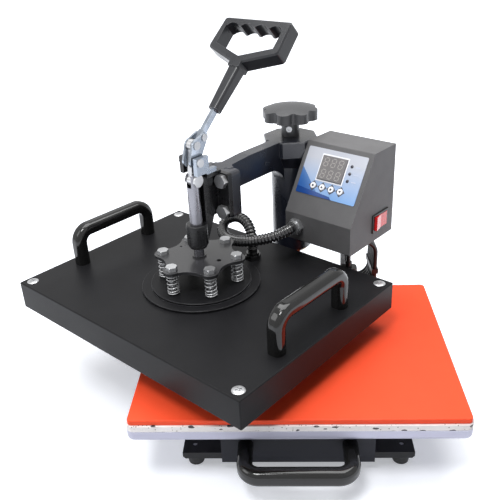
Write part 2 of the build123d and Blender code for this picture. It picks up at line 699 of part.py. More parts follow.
def lever():
    """Yoke plates with their rivets, and the flat bar between them."""
    pivot, crank = toggle_points()[:2]
    end = lever_point(YOKE_REACH)
    outline = eye_plate(pivot, crank, EAR_R, LINK_EYE_R) + eye_plate(pivot, end, EAR_R, BAR_WIDTH / 2 + 1)
    outline += eye_plate(crank, end, LINK_EYE_R, BAR_WIDTH / 2 + 1)
    outline -= Pos(*pivot) * Circle(PIN_R + FIT)
    outline -= Pos(*crank) * Circle(PIN_R + FIT)
    rivets_at = [lever_point(RIVET_AT)]
    for spot in rivets_at:
        outline -= Pos(*spot) * Circle(PIN_R + FIT)
    plates = [side_plate(outline, *sorted((s * PLATE_GAP, s * YOKE_OUTER))) for s in (-1, 1)]
    seat("lever_yoke", group(*plates), swung=True)

    bar = side_plate(bar_outline(BAR_START, BAR_ROOT_END), -PLATE_GAP, PLATE_GAP)
    bar += side_plate(bar_outline(BAR_ROOT_END - 1, BAR_END), -BAR_THICK / 2, BAR_THICK / 2)
    for spot in rivets_at:
        bar -= rod_x(*spot, -PLATE_GAP, PLATE_GAP, PIN_R + FIT)
    seat("lever_bar", bar, swung=True)

    rivets = []
    for spot in rivets_at:
        rivet = rod_x(*spot, -YOKE_OUTER, YOKE_OUTER, PIN_R)
        for side in (-1, 1):
            x0, x1 = sorted((side * YOKE_OUTER, side * (YOKE_OUTER + 1.2)))
            rivet += rod_x(*spot, x0, x1, PIN_R + 1.5)
        rivets.append(rivet)
    for side in (-1, 1):
        x0, x1 = sorted((side * PLATE_GAP, side * YOKE_OUTER))
        h0, h1 = sorted((side * YOKE_OUTER, side * (YOKE_OUTER + 1.2)))
        rivets.append(rod_x(*crank, x0, x1, PIN_R) + rod_x(*crank, h0, h1, PIN_R + 2))
    seat("yoke_rivets", group(*rivets), swung=True)


def hand_grip():
    """D-shaped plastic grip with finger grooves, drawn flat and then laid along the lever."""
    top = GRIP_LENGTH
    stem = GRIP_STEM_W / 2
    right = [(stem, GRIP_STEM - 6), (stem, GRIP_STEM), (GRIP_LOW_W / 2, GRIP_LOW), (GRIP_TOP_W / 2, top)]
    outer = make_face(Polyline(*right, *[(-x, y) for x, y in reversed(right)], close=True))
    soft = [v for v in outer.vertices() if v.Y > GRIP_STEM + 1]
    outer = fillet(soft, 5)
    side = GRIP_TOP_W / 2 - GRIP_WALL
    low = GRIP_LOW_W / 2 - GRIP_WALL
    window_top = top - GRIP_WALL - GRIP_GROOVE_DEPTH
    low_z = GRIP_LOW + GRIP_WALL * 0.9
    window = make_face(Polyline((0, GRIP_STEM + GRIP_WALL), (-low, low_z), (-side, window_top),
                                (side, window_top), (low, low_z), close=True))
    window = fillet(window.vertices(), 2.5)
    pitch = 2 * side / GRIP_GROOVES
    chord = pitch * 0.42
    groove_r = (chord ** 2 + GRIP_GROOVE_DEPTH ** 2) / (2 * GRIP_GROOVE_DEPTH)
    for k in range(GRIP_GROOVES):
        x = (k - (GRIP_GROOVES - 1) / 2) * pitch
        window += Pos(x, window_top + GRIP_GROOVE_DEPTH - groove_r) * Circle(groove_r)
    window_limit = Pos(0, GRIP_STEM + (top - GRIP_STEM) / 2) * Rectangle(2 * side, top - GRIP_STEM)
    grip = extrude(outer - (window & window_limit), GRIP_DEPTH / 2, both=True)
    grip = chamfer(grip.edges().group_by(Axis.Z)[-1].filter_by(GeomType.LINE).sort_by(Axis.Y)[-1:], GRIP_EDGE)
    grip += loft([Plane.XZ.offset(-y) * RectangleRounded(width, depth, GRIP_STEM_EDGE) for y, width, depth in
                  ((0, GRIP_FOOT_W, GRIP_FOOT_W), (GRIP_STEM + 2, GRIP_STEM_W, GRIP_STEM_W))])
    socket = BAR_END - GRIP_START
    grip -= Pos(0, socket / 2, 0) * Box(BAR_THICK, socket, BAR_WIDTH)
    grip = Plane(origin=(0, 0, 0), x_dir=(1, 0, 0), z_dir=(0, -1, 0)) * grip
    y, z = lever_point(GRIP_START)
    seat("hand_grip", Pos(0, y, z) * Rot(-LEVER_LEAN, 0, 0) * grip, swung=True)


def spring_places():
    """Centres of the springs round the plunger."""
    turns = [radians(30 + 360 / SPRING_COUNT * k) for k in range(SPRING_COUNT)]
    return [(SPRING_PITCH_R * cos(a), SPRING_PITCH_R * sin(a)) for a in turns]


def spider():
    """Six-armed plate on the plunger, with the nut that holds it."""
    half = pi / SPRING_COUNT
    lobe = Vector(SPRING_PITCH_R * cos(half), SPRING_PITCH_R * sin(half))
    inset = SPIDER_WAIST_R - lobe.X
    notch = (lobe.Y ** 2 + inset ** 2 - SPIDER_LOBE_R ** 2) / (2 * (SPIDER_LOBE_R - inset))
    reach = SPIDER_WAIST_R + notch
    meet = lobe + (Vector(reach, 0) - lobe).normalized() * SPIDER_LOBE_R
    star = Circle(meet.length)
    for k in range(SPRING_COUNT):
        star -= Rot(0, 0, 360 / SPRING_COUNT * k) * Pos(reach, 0) * Circle(notch)
    for x, y in spring_places():
        star += Pos(x, y) * Circle(SPIDER_LOBE_R)
    plate = extrude(Plane.XY.offset(SPIDER_BOTTOM) * star, SPIDER_T)
    plate += rod(0, 0, SPIDER_TOP, SPIDER_TOP + SPIDER_BOSS_H, SPIDER_BOSS_R)
    plate -= rod(0, 0, SPIDER_BOTTOM, SPIDER_TOP + SPIDER_BOSS_H, STUD_R + HOLE_GAP)
    for x, y in spring_places():
        plate -= rod(x, y, SPIDER_BOTTOM, SPIDER_TOP, SPRING_BOLT_R + 0.3)
    for x, y, radius in SPIDER_HOLES:
        plate -= rod(x, y, SPIDER_BOTTOM, SPIDER_TOP, radius)
    seat("spider_plate", plate, swung=True)
    nut = extrude(Plane.XY.offset(SPIDER_BOTTOM - M10_HEAD) * hexagon(M10_FLATS), M10_HEAD)
    nut -= rod(0, 0, SPIDER_BOTTOM - M10_HEAD, SPIDER_BOTTOM, STUD_R + HOLE_GAP)
    seat("plunger_nut", nut, swung=True)


def spring():
    """One compression spring as a single wire, standing on the origin."""
    wire_gap = 0.15
    rise = (SPRING_GAP - 2 * (SPRING_WIRE_R + wire_gap)) / SPRING_TURNS
    slope = atan2(rise, 2 * pi * SPRING_R)

    def at(turn):
        a = 2 * pi * turn
        spot = Vector(SPRING_R * cos(a), SPRING_R * sin(a), SPRING_WIRE_R + wire_gap + rise * turn)
        heading = Vector(-sin(a) * cos(slope), cos(a) * cos(slope), sin(slope))
        return spot, heading

    edges = []
    for k in range(SPRING_TURNS * 2):
        edges += biarc(*at(k / 2), *at((k + 1) / 2))
    wire = Wire(edges)
    start, heading = at(0)
    section = Plane(origin=start, x_dir=(0, 0, 1), z_dir=heading) * Circle(SPRING_WIRE_R)
    print("spring: turn to turn gap", round(rise * cos(slope) - 2 * SPRING_WIRE_R, 2))
    return sweep(section, path=wire)


def head():
    """Cover, heating plate, wool, spacers, discs, bolts and springs of the sprung head."""
    cover = block(-HEAD_W / 2, HEAD_W / 2, -HEAD_D / 2, HEAD_D / 2, COVER_BOTTOM, COVER_TOP)
    cover = fillet(cover.edges().group_by(Axis.Z)[-1] + cover.edges().filter_by(Axis.Z), COVER_EDGE_R)
    cover -= block(-HEAD_W / 2 + COVER_WALL, HEAD_W / 2 - COVER_WALL, -HEAD_D / 2 + COVER_WALL,
                   HEAD_D / 2 - COVER_WALL, COVER_BOTTOM, COVER_TOP - COVER_WALL)
    corners = [(sx * (HEAD_W / 2 - CORNER_INSET), sy * (HEAD_D / 2 - CORNER_INSET))
               for sx in (-1, 1) for sy in (-1, 1)]
    ceiling = COVER_TOP - COVER_WALL
    for x, y in corners:
        cover -= rod(x, y, ceiling, COVER_TOP, M5_R + HOLE_GAP)
    for x, y in spring_places():
        cover -= rod(x, y, ceiling, COVER_TOP, SPRING_BOLT_R + HOLE_GAP)
    for x, y in head_handle_screw_places():
        cover -= rod(x, y, ceiling, COVER_TOP, M5_R + HOLE_GAP)
    cover -= rod(HOSE_HEAD_X, HOSE_HEAD_Y, ceiling, COVER_TOP, HOSE_BORE_R)
    seat("heat_cover", cover, swung=True)

    plate = rounded_slab(HEATER_W, HEATER_D, HEATER_BOTTOM, WOOL_BOTTOM, 4)
    for x, y in corners:
        plate -= rod(x, y, WOOL_BOTTOM - 8, WOOL_BOTTOM, M5_R + HOLE_GAP)
    seat("heating_plate", plate, swung=True)
    wool = rounded_slab(HEATER_W - 36, HEATER_D - 36, WOOL_BOTTOM, WOOL_BOTTOM + WOOL_T, 4)
    seat("insulation_pad", wool, swung=True)

    spacers = [rod(x, y, WOOL_BOTTOM, ceiling, SPACER_R) - rod(x, y, WOOL_BOTTOM, ceiling, M5_R + HOLE_GAP)
               for x, y in corners]
    seat("corner_spacers", group(*spacers), swung=True)
    caps = []
    for x, y in corners:
        cap = rod(x, y, COVER_TOP, COVER_TOP + CAP_T, CAP_R)
        cap = fillet(cap.edges().group_by(Axis.Z)[-1], CAP_T * 0.6)
        caps.append(cap + rod(x, y, WOOL_BOTTOM - 8, COVER_TOP, M5_R))
    seat("corner_screws", group(*caps), swung=True)

    lower = rod(0, 0, COVER_TOP, COVER_TOP + LOWER_DISC_T, LOWER_DISC_R)
    lower = chamfer(lower.edges().group_by(Axis.Z)[-1], 0.6)
    upper = rod(0, 0, COVER_TOP + LOWER_DISC_T, UPPER_DISC_TOP, UPPER_DISC_R)
    upper = chamfer(upper.edges().group_by(Axis.Z)[-1], 0.6)
    for x, y in spring_places():
        lower -= rod(x, y, COVER_TOP, UPPER_DISC_TOP, SPRING_BOLT_R + HOLE_GAP)
        upper -= rod(x, y, COVER_TOP, UPPER_DISC_TOP, SPRING_BOLT_R + HOLE_GAP)
    seat("pressure_discs", group(lower, upper), swung=True)

    bolt = hex_bolt(M8_FLATS, M8_HEAD, SPRING_BOLT_R, SPIDER_TOP - ceiling)
    seat("spring_bolts", group(*[Pos(x, y, SPIDER_TOP + 0.1) * bolt for x, y in spring_places()]), swung=True)
    coil = spring()
    seat("return_springs", group(*[Pos(x, y, UPPER_DISC_TOP) * coil for x, y in spring_places()]), swung=True)


def handle():
    """Bridge handle that stands on the XY plane, along Y."""
    half = handle_half()
    top = HANDLE_HEIGHT - HANDLE_T / 2
    path = FilletPolyline((0, -half, 0), (0, -half, top), (0, half, top), (0, half, 0), radius=HANDLE_BEND_R)
    section = Plane(origin=(0, -half, 0), x_dir=(1, 0, 0), z_dir=(0, 0, 1)) * RectangleRounded(
        HANDLE_W, HANDLE_T, HANDLE_SECTION_R)
    grip = sweep(section, path=path)
    for y in (-half, half):
        grip -= rod(0, y, 0, SHORT_BOLT + 1, M5_R + HOLE_GAP)
    return grip


def handle_half():
    """Half the distance between the screws of a handle."""
    return HANDLE_LENGTH / 2 - HANDLE_T / 2


def handle_screw_places():
    """X of the base handle's screws."""
    return -handle_half(), handle_half()


def head_handle_screw_places():
    """Where the head's handles are screwed down."""
    return [(sx * HANDLE_X, sy * handle_half()) for sx in (-1, 1) for sy in (-1, 1)]


def base_handle_z():
    """Height of the base handle."""
    return BAR_BOTTOM + (TRAY_BOTTOM - BAR_BOTTOM) / 2


def handles():
    """Two handles on the head and one on the base, with the screws of the head's."""
    grip = handle()
    seat("handle_left", Pos(-HANDLE_X, 0, COVER_TOP) * grip, swung=True)
    seat("handle_right", Pos(HANDLE_X, 0, COVER_TOP) * grip, swung=True)
    front = Plane(origin=(0, BEAM_FRONT - FRONT_PLATE_T, base_handle_z()), x_dir=(0, 0, 1), z_dir=(0, -1, 0))
    seat("base_handle", front * grip)
    ceiling = COVER_TOP - COVER_WALL
    screw = Rot(180, 0, 0) * pan_screw(M5_HEAD_R, M5_HEAD, M5_R, SHORT_BOLT)
    screws = [Pos(x, y, ceiling) * screw for x, y in head_handle_screw_places()]
    seat("handle_screws", group(*screws), swung=True)


def panel_plane():
    """Plane of the sloped front of the control box, with its origin at the lower left corner."""
    along = Vector(0, BOX_SLOPE_TOP - BOX_FRONT, BOX_TOP - BOX_SLOPE_BOTTOM).normalized()
    normal = Vector(1, 0, 0).cross(along)
    return Plane(origin=(BOX_X, BOX_FRONT, BOX_SLOPE_BOTTOM), x_dir=(1, 0, 0), z_dir=normal)


def on_panel(shape, x, v, depth):
    """Lays a shape on the sloped front, at a depth along its normal."""
    plane = panel_plane()
    return plane * Pos(x, v, depth) * shape


def box_outline(inset=0.0):
    """Side outline of the control box."""
    rear = BOX_REAR - BOX_COVER_T
    outline = make_face(Polyline((BOX_FRONT, BOX_BOTTOM), (BOX_FRONT, BOX_SLOPE_BOTTOM),
                                 (BOX_SLOPE_TOP, BOX_TOP), (rear, BOX_TOP), (rear, BOX_BOTTOM), close=True))
    return offset(outline, -inset, kind=Kind.INTERSECTION) if inset else outline


def control_box():
    """Folded steel box with its rear cover, board, label, display, buttons and switch."""
    shell = side_plate(box_outline(), BOX_X, BOX_RIGHT)
    shell = fillet(shell.edges().filter_by(Axis.X).sort_by(Axis.Y)[:3], BOX_EDGE_R)
    hollow = side_plate(box_outline(BOX_WALL), BOX_X + BOX_WALL, BOX_RIGHT - BOX_WALL)
    hollow += block(BOX_X + BOX_WALL, BOX_RIGHT - BOX_WALL, BOX_REAR - BOX_COVER_T - BOX_WALL * 2,
                    BOX_REAR - BOX_COVER_T, BOX_BOTTOM + BOX_WALL, BOX_TOP - BOX_WALL)
    shell -= hollow
    hole = Cylinder(BUTTON_R + BUTTON_GAP, 8)
    for x in BUTTON_X:
        shell -= on_panel(hole, x, BUTTON_V, 0)
    shell -= on_panel(Box(DISPLAY_W - 4, DISPLAY_H - 4, 8), DISPLAY_X, DISPLAY_V, 0)
    for v in LED_V:
        shell -= on_panel(Cylinder(LED_R, 8), LED_X, v, 0)
    shell -= Pos(BOX_RIGHT, ROCKER_Y, ROCKER_Z) * Box(8, ROCKER_L + 4, ROCKER_H + 3)
    shell -= rod_y(HOSE_X, HOSE_Z, BOX_FRONT - 1, BOX_FRONT + 4, HOSE_BORE_R)
    relief_x, relief_y = relief_place()
    shell -= rod(relief_x, relief_y, BOX_BOTTOM, BOX_BOTTOM + BOX_WALL, CORD_R)
    for z in box_screw_heights():
        shell -= rod_x(POST_Y, z, BOX_X, BOX_X + BOX_WALL, M5_R + HOLE_GAP)
    shell += cover_tabs()
    for x, z in cover_screw_places():
        shell -= rod_y(x, z, BOX_REAR - 10, BOX_REAR, COVER_SCREW_R + HOLE_GAP)
    seat("control_box", shell, swung=True)

    cover = block(BOX_X, BOX_RIGHT, BOX_REAR - BOX_COVER_T, BOX_REAR, BOX_BOTTOM, BOX_TOP)
    for k in range(5):
        z = BOX_TOP - 22 - 6 * k
        cover -= block(BOX_X + 26, BOX_RIGHT - 26, BOX_REAR - BOX_COVER_T, BOX_REAR, z - 1.2, z + 1.2)
    for x, z in cover_screw_places():
        cover -= rod_y(x, z, BOX_REAR - BOX_COVER_T, BOX_REAR, COVER_SCREW_R + HOLE_GAP)
    seat("box_rear_cover", cover, swung=True)

    screws = []
    for z in box_screw_heights():
        screw = Rot(0, 90, 0) * pan_screw(M5_HEAD_R, M5_HEAD, M5_R, BOX_WALL + 8)
        screws.append(Pos(BOX_X + BOX_WALL, POST_Y, z) * screw)
    for x, z in cover_screw_places():
        screw = Rot(-90, 0, 0) * pan_screw(2 * COVER_SCREW_R, 1.8, COVER_SCREW_R, BOX_COVER_T + BOX_WALL + 3)
        screws.append(Pos(x, BOX_REAR, z) * screw)
    seat("box_screws", group(*screws), swung=True)


def cover_screw_places():
    """X and Z of the rear cover's screws."""
    return [(x, z) for x in (BOX_X + COVER_SCREW_INSET, BOX_RIGHT - COVER_SCREW_INSET)
            for z in (BOX_BOTTOM + COVER_SCREW_INSET, BOX_TOP - COVER_SCREW_INSET)]


def cover_tabs():
    """Folded tabs of the box that take the rear cover's screws."""
    rear = BOX_REAR - BOX_COVER_T
    tabs = []
    for x in (BOX_X, BOX_RIGHT - COVER_TAB):
        for z in (BOX_BOTTOM, BOX_TOP - COVER_TAB):
            tabs.append(block(x, x + COVER_TAB, rear - BOX_WALL, rear, z, z + COVER_TAB))
    return tabs


def panel_fittings():
    """Label, display window, board with its lamps, buttons and rocker."""
    label_w = BOX_W - 2 * LABEL_MARGIN_X
    label_h = LABEL_HIGH - LABEL_LOW
    label_v = (LABEL_LOW + LABEL_HIGH) / 2
    label = extrude(RectangleRounded(label_w, label_h, 2), LABEL_T)
    label = on_panel(label, BOX_W / 2, label_v, 0)
    label -= on_panel(Box(DISPLAY_W, DISPLAY_H, 8), DISPLAY_X, DISPLAY_V, 0)
    for x in BUTTON_X:
        label -= on_panel(Cylinder(BUTTON_R + BUTTON_GAP, 8), x, BUTTON_V, 0)
    for v in LED_V:
        label -= on_panel(Cylinder(LED_R, 8), LED_X, v, 0)
    seat("panel_label", label, swung=True)

    window = Box(DISPLAY_W - 0.2, DISPLAY_H - 0.2, DISPLAY_T, align=STANDING)
    window = chamfer(window.edges().group_by(Axis.Z)[-1], 0.6)
    seat("display_window", on_panel(window, DISPLAY_X, DISPLAY_V, 0), swung=True)

    board_t = 1.6
    depth = -BOX_WALL - BUTTON_STEM - BUTTON_TRAVEL - 0.3 - board_t
    board = Box(BOX_W - 16, BOARD_H, board_t, align=STANDING)
    board = on_panel(board, BOX_W / 2, label_v, depth)
    for v in LED_V:
        lamp = Cylinder(LED_R - 0.1, LABEL_T - depth - board_t, align=STANDING)
        board += on_panel(lamp, LED_X, v, depth + board_t)
    relay = Box(20, 16, 15, align=HANGING)
    board += on_panel(relay, BOX_W * 0.3, label_v - 14, depth)
    pillar = Cylinder(2.5, -depth - board_t - BOX_WALL, align=STANDING)
    for x in (12, BOX_W - 12):
        for v in (label_v - 31, label_v + 31):
            board += on_panel(pillar, x, v, depth + board_t)
    seat("control_board", board, swung=True)

    cap = Cylinder(BUTTON_R, BUTTON_STEM + BOX_WALL + BUTTON_PROUD, align=STANDING)
    cap = fillet(cap.edges().group_by(Axis.Z)[-1], 0.8)
    for k, x in enumerate(BUTTON_X):
        seat(f"button_{k + 1}", on_panel(cap, x, BUTTON_V, -BOX_WALL - BUTTON_STEM), swung=True)

    bezel = Pos(BOX_RIGHT + BEZEL_T / 2, ROCKER_Y, ROCKER_Z) * Box(BEZEL_T, BEZEL_L, BEZEL_H)
    bezel = chamfer(bezel.faces().sort_by(Axis.X)[-1].edges(), 0.8)
    bezel += Pos(BOX_RIGHT - 7, ROCKER_Y, ROCKER_Z) * Box(14, ROCKER_L + 3.8, ROCKER_H + 2.8)
    bezel -= Pos(BOX_RIGHT - 4, ROCKER_Y, ROCKER_Z) * Box(18, ROCKER_L + 1.2, ROCKER_H + 1.2)
    seat("rocker_bezel", bezel, swung=True)
    end = ROCKER_L / 2 + 1
    face = make_face(Polyline((-end, -6), (-end, 5.8), (0, 2.2), (end, 2.3), (end, -6), close=True))
    face &= Pos(0, -ROCKER_PIVOT_DEPTH) * Circle(ROCKER_L / 2 + 0.3)
    shape = extrude(face, ROCKER_H / 2, both=True)
    shape = Plane(origin=(BOX_RIGHT, ROCKER_Y, ROCKER_Z), x_dir=(0, 1, 0), z_dir=(0, 0, -1)) * shape
    seat("rocker_switch", shape, swung=True)


def hose_route():
    """Corners of the hose's route, from the box's gland to the head's."""
    return [(HOSE_X, BOX_FRONT - GLAND_H, HOSE_Z), (HOSE_X, 103, HOSE_Z), (44, 89, 205), (24, 78, 199),
            (1, 72, 194), (-22, 75, 191), (-36, 81, 192.5), (-44.5, 90, 198.5), (-42, 98, 207),
            (-30, 101, 213), (-16, 101, 214), (-3, 98, 210), (6, 94, 201), (HOSE_HEAD_X, HOSE_HEAD_Y, 189),
            (HOSE_HEAD_X, HOSE_HEAD_Y, COVER_TOP + GLAND_H)]


def corner_radii(points):
    """The arc at each corner of a route, as large as its two runs allow."""
    radii = []
    for a, b, c in zip(points, points[1:], points[2:]):
        into, out = Vector(*b) - Vector(*a), Vector(*c) - Vector(*b)
        half_turn = radians(into.get_angle(out)) / 2
        radii.append(0.45 * min(into.length, out.length) / tan(half_turn))
    return radii


def self_gap(path, radius, apart):
    """Least gap of a tube to itself, measured on points along its path."""
    count = ceil(path.length / 3)
    spots = [path.position_at(k / count) for k in range(count + 1)]
    step = path.length / count
    skip = ceil(apart / step)
    return min((a - b).length for k, a in enumerate(spots) for b in spots[k + skip:]) - 2 * radius


def heater_hose():
    """Ribbed hose, hollow, with its two glands."""
    points = hose_route()
    radii = corner_radii(points)
    print("hose: corner radii", [round(r, 1) for r in radii])
    path = FilletPolyline(*points, radius=radii)
    print("hose: length", round(path.length, 1), "gap to itself", round(self_gap(path, HOSE_R, 40), 1))
    steady = Vector(0.6, -0.66, 0.45)
    straight = 2 * HOSE_ROOT_R
    ribs = round((path.length - 2 * straight) / HOSE_RIB_PITCH)
    step = (path.length - 2 * straight) / ribs
    marks = [(0.0, HOSE_ROOT_R)]
    for k in range(ribs):
        start = straight + step * k
        marks += [(start, HOSE_ROOT_R), (start + step * 0.22, HOSE_R), (start + step * 0.58, HOSE_R),
                  (start + step * 0.8, HOSE_ROOT_R)]
    marks.append((path.length, HOSE_ROOT_R))

    def ring(distance, radius):
        t = distance / path.length
        heading = path.tangent_at(t)
        x_dir = (steady - heading * steady.dot(heading)).normalized()
        return Plane(origin=path.position_at(t), x_dir=x_dir, z_dir=heading) * Circle(radius)

    skin = loft([ring(*mark) for mark in marks], ruled=True)
    bore = loft([ring(mark[0], HOSE_BORE_R) for mark in marks[::4] + marks[-1:]], ruled=True)
    seat("heater_hose", skin - bore, swung=True)

    nut = extrude(hexagon(2 * GLAND_R * 0.9), GLAND_H * 0.6)
    nut += Cylinder(GLAND_R * 0.82, GLAND_H, align=STANDING)
    nut -= Cylinder(HOSE_BORE_R, 4 * GLAND_H)
    seat("head_hose_gland", Pos(HOSE_HEAD_X, HOSE_HEAD_Y, COVER_TOP) * nut, swung=True)
    turned = Plane(origin=(HOSE_X, BOX_FRONT, HOSE_Z), x_dir=(1, 0, 0), z_dir=(0, -1, 0)) * nut
    seat("box_hose_gland", turned, swung=True)


def hank_axes():
    """Centre of the hank, the direction across it and the direction in which its turns lie side by side."""
    across = Vector(cos(radians(HANK_YAW)), sin(radians(HANK_YAW)), 0)
    along = Vector(-sin(radians(HANK_YAW)), cos(radians(HANK_YAW)), 0)
    return Vector(HANK_X, HANK_Y, HANK_Z), across, along


def relief_place():
    """X and Y of the strain relief in the bottom of the control box."""
    centre, across, along = hank_axes()
    spot = centre - across * HANK_FOLD_R + along * (HANK_PITCH * HANK_TURNS / 2)
    return spot.X, spot.Y


def hank_point(distance):
    """Place and heading of the cord, at a distance along the turns of the hank."""
    centre, across, along = hank_axes()
    up = Vector(0, 0, 1)
    bend = pi * HANK_FOLD_R
    around = 2 * bend + 2 * HANK_RUN
    rest = distance % around
    if distance > HANK_TURNS * around:
        rest = distance - HANK_TURNS * around
    if rest < HANK_RUN:
        flat, heading = -across * HANK_FOLD_R + up * (HANK_RUN / 2 - rest), -up
    elif rest < HANK_RUN + bend:
        a = (rest - HANK_RUN) / HANK_FOLD_R
        flat = -across * HANK_FOLD_R * cos(a) - up * (HANK_RUN / 2 + HANK_FOLD_R * sin(a))
        heading = across * sin(a) - up * cos(a)
    elif rest < 2 * HANK_RUN + bend:
        flat = across * HANK_FOLD_R + up * (rest - HANK_RUN * 1.5 - bend)
        heading = up
    else:
        a = (rest - 2 * HANK_RUN - bend) / HANK_FOLD_R
        flat = across * HANK_FOLD_R * cos(a) + up * (HANK_RUN / 2 + HANK_FOLD_R * sin(a))
        heading = -across * sin(a) + up * cos(a)
    last = min(max(distance - (HANK_TURNS * around - bend), 0) / bend, 1)
    shift = HANK_PITCH * (HANK_TURNS / 2 - distance / around) - PLUG_OFFSET * last ** 2 * (3 - 2 * last)
    slope = HANK_PITCH / around + PLUG_OFFSET * 6 * last * (1 - last) / bend
    return centre + flat + along * shift, (heading - along * slope).normalized()


def hank_stops():
    """Distances along the hank at which its runs and its quarter turns end."""
    quarter = pi * HANK_FOLD_R / 2
    lap = [HANK_RUN, quarter, quarter, HANK_RUN, quarter, quarter] * HANK_TURNS
    lap.append(CORD_LEAD)
    return [sum(lap[:k + 1]) for k in range(len(lap))]


def mains_cord():
    """Cord from its strain relief, through the turns of the hank, to its plug."""
    centre, across, _ = hank_axes()
    down = Vector(0, 0, -1)
    top = Vector(*relief_place(), BOX_BOTTOM - RELIEF_L)
    spot, heading = top + down * RELIEF_LEAD, down
    edges = [Line(top, spot)]
    for distance in hank_stops():
        after, way = hank_point(distance)
        straight = heading.get_angle(way) < 0.01
        edges += [Line(spot, after)] if straight else biarc(spot, heading, after, way)
        spot, heading = after, way
    wire = Wire(edges)
    cord = sweep(Plane(origin=top, x_dir=(1, 0, 0), z_dir=down) * Circle(CORD_R), path=wire)
    print("cord: length", round(wire.length, 1), "gap to itself", round(self_gap(wire, CORD_R, 60), 2),
          "volume ratio", round(cord.volume / (pi * CORD_R ** 2 * wire.length), 4))
    seat("mains_cord_hank", cord, swung=True)

    relief = Pos(0, 0, -1.5) * Cylinder(CORD_R + 3.4, 3)
    relief += Pos(0, 0, -3) * Cone(CORD_R + 0.4, CORD_R + 2.2, RELIEF_L - 3, align=HANGING)
    seat("cord_relief", Pos(*relief_place(), BOX_BOTTOM) * relief, swung=True)

    plug = Pos(0, 0, PLUG_RELIEF_L / 2) * Cylinder(CORD_R + 1.6, PLUG_RELIEF_L)
    body = Pos(0, 0, PLUG_RELIEF_L + PLUG_L / 2 - 2) * Box(PLUG_W, PLUG_D, PLUG_L)
    plug += fillet(body.edges().filter_by(Axis.Z), 5)
    for x in (-6.35, 6.35):
        plug += Pos(x, 0, PLUG_RELIEF_L + PLUG_L + 6) * Box(1.5, 6.3, 16)
    seat("mains_plug", Plane(origin=spot, x_dir=across, z_dir=heading) * plug, swung=True)

    wide = HANK_PITCH * (HANK_TURNS - 1) + 2 * CORD_R + 0.8
    band = Box(2 * CORD_R + 2.4, wide + 1.6, TIE_H) - Box(2 * CORD_R + 0.8, wide, TIE_H)
    band = Plane(origin=centre + across * HANK_FOLD_R + down * TIE_DROP, x_dir=across, z_dir=(0, 0, 1)) * band
    seat("cord_tie", band, swung=True)


def build():
    """Every piece of the press."""
    platen_stack()
    base_frame()
    feet()
    base_screws()
    base_bolts()
    post()
    swing_arm()
    pressure_knob()
    clamp_body()
    plunger()
    lever()
    hand_grip()
    spider()
    head()
    handles()
    control_box()
    panel_fittings()
    heater_hose()
    mains_cord()


build()
os.makedirs("parts", exist_ok=True)
bounds = Compound(children=[copy(shape) for name, shape in parts.items() if name not in CORDS]).bounding_box()
print("origin", bounds.center().X, bounds.center().Y, bounds.min.Z, "size", bounds.size)
for name, shape in parts.items():
    shape = Pos(-bounds.center().X, -bounds.center().Y, 0) * shape
    shape.label = name
    export_step(shape, f"parts/{name}.step")
print(len(parts), "nodes")
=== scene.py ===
"""Looks of the combo heat press: pads, hose, mains cord, springs, screws, control panel and finishes."""
import json
from math import ceil, cos, pi, radians, sin, sqrt

import bmesh
import bpy
from bpy.props import FloatProperty, FloatVectorProperty, IntProperty, PointerProperty
from bpy.types import Operator, Panel, PropertyGroup
from mathutils import Matrix, Vector


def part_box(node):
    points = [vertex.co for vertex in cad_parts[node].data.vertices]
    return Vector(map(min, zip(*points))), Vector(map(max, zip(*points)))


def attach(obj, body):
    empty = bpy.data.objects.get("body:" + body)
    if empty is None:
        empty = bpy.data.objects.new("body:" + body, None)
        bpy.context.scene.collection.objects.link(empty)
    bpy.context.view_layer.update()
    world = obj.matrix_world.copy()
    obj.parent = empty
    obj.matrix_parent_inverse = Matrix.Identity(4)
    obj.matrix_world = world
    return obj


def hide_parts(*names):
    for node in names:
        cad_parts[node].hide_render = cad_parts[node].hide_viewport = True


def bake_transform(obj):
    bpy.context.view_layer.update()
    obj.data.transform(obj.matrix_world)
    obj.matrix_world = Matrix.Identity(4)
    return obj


bl_info = {
    "name": "Heat Press Dresser",
    "version": (1, 0, 0),
    "blender": (4, 5, 0),
    "location": "View3D > Sidebar > Heat Press",
    "description": "Dresses the frame of a combo heat press with its finishes, pads, hose, cord and panel",
    "category": "Object",
}

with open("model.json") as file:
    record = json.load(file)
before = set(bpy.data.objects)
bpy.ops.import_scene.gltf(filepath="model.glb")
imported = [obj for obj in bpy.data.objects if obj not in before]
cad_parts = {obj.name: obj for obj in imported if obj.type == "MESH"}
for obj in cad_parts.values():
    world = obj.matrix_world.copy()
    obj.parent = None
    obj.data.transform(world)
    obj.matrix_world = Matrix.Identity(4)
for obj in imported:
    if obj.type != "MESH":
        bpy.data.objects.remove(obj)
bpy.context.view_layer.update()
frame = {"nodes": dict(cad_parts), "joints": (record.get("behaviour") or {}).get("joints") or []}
JOINTS = {joint["name"]: joint for joint in frame["joints"]}
MM = 0.001
UP = Vector((0, 0, 1))

# The arm's own axes, with their origin on the plunger's axis at table height
ARM_X = Vector(JOINTS["lever_turn"]["axis"]).normalized()
ARM_Y = UP.cross(ARM_X)
PIVOT = Vector(JOINTS["lever_turn"]["pos_m"])
PAD_LOW, PAD_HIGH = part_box("silicone_pad")
PAD_CENTRE = Vector(((PAD_LOW.x + PAD_HIGH.x) / 2, (PAD_LOW.y + PAD_HIGH.y) / 2, PAD_HIGH.z))

# The sloped panel of the control box: lower left corner and upward direction, in the arm's axes
PANEL_CORNER = Vector((36.3, 132.0, 227.6)) * MM
PANEL_RISE = Vector((0.0, 52.7, 85.0)).normalized()
PANEL_OUT = Vector((1, 0, 0)).cross(PANEL_RISE)

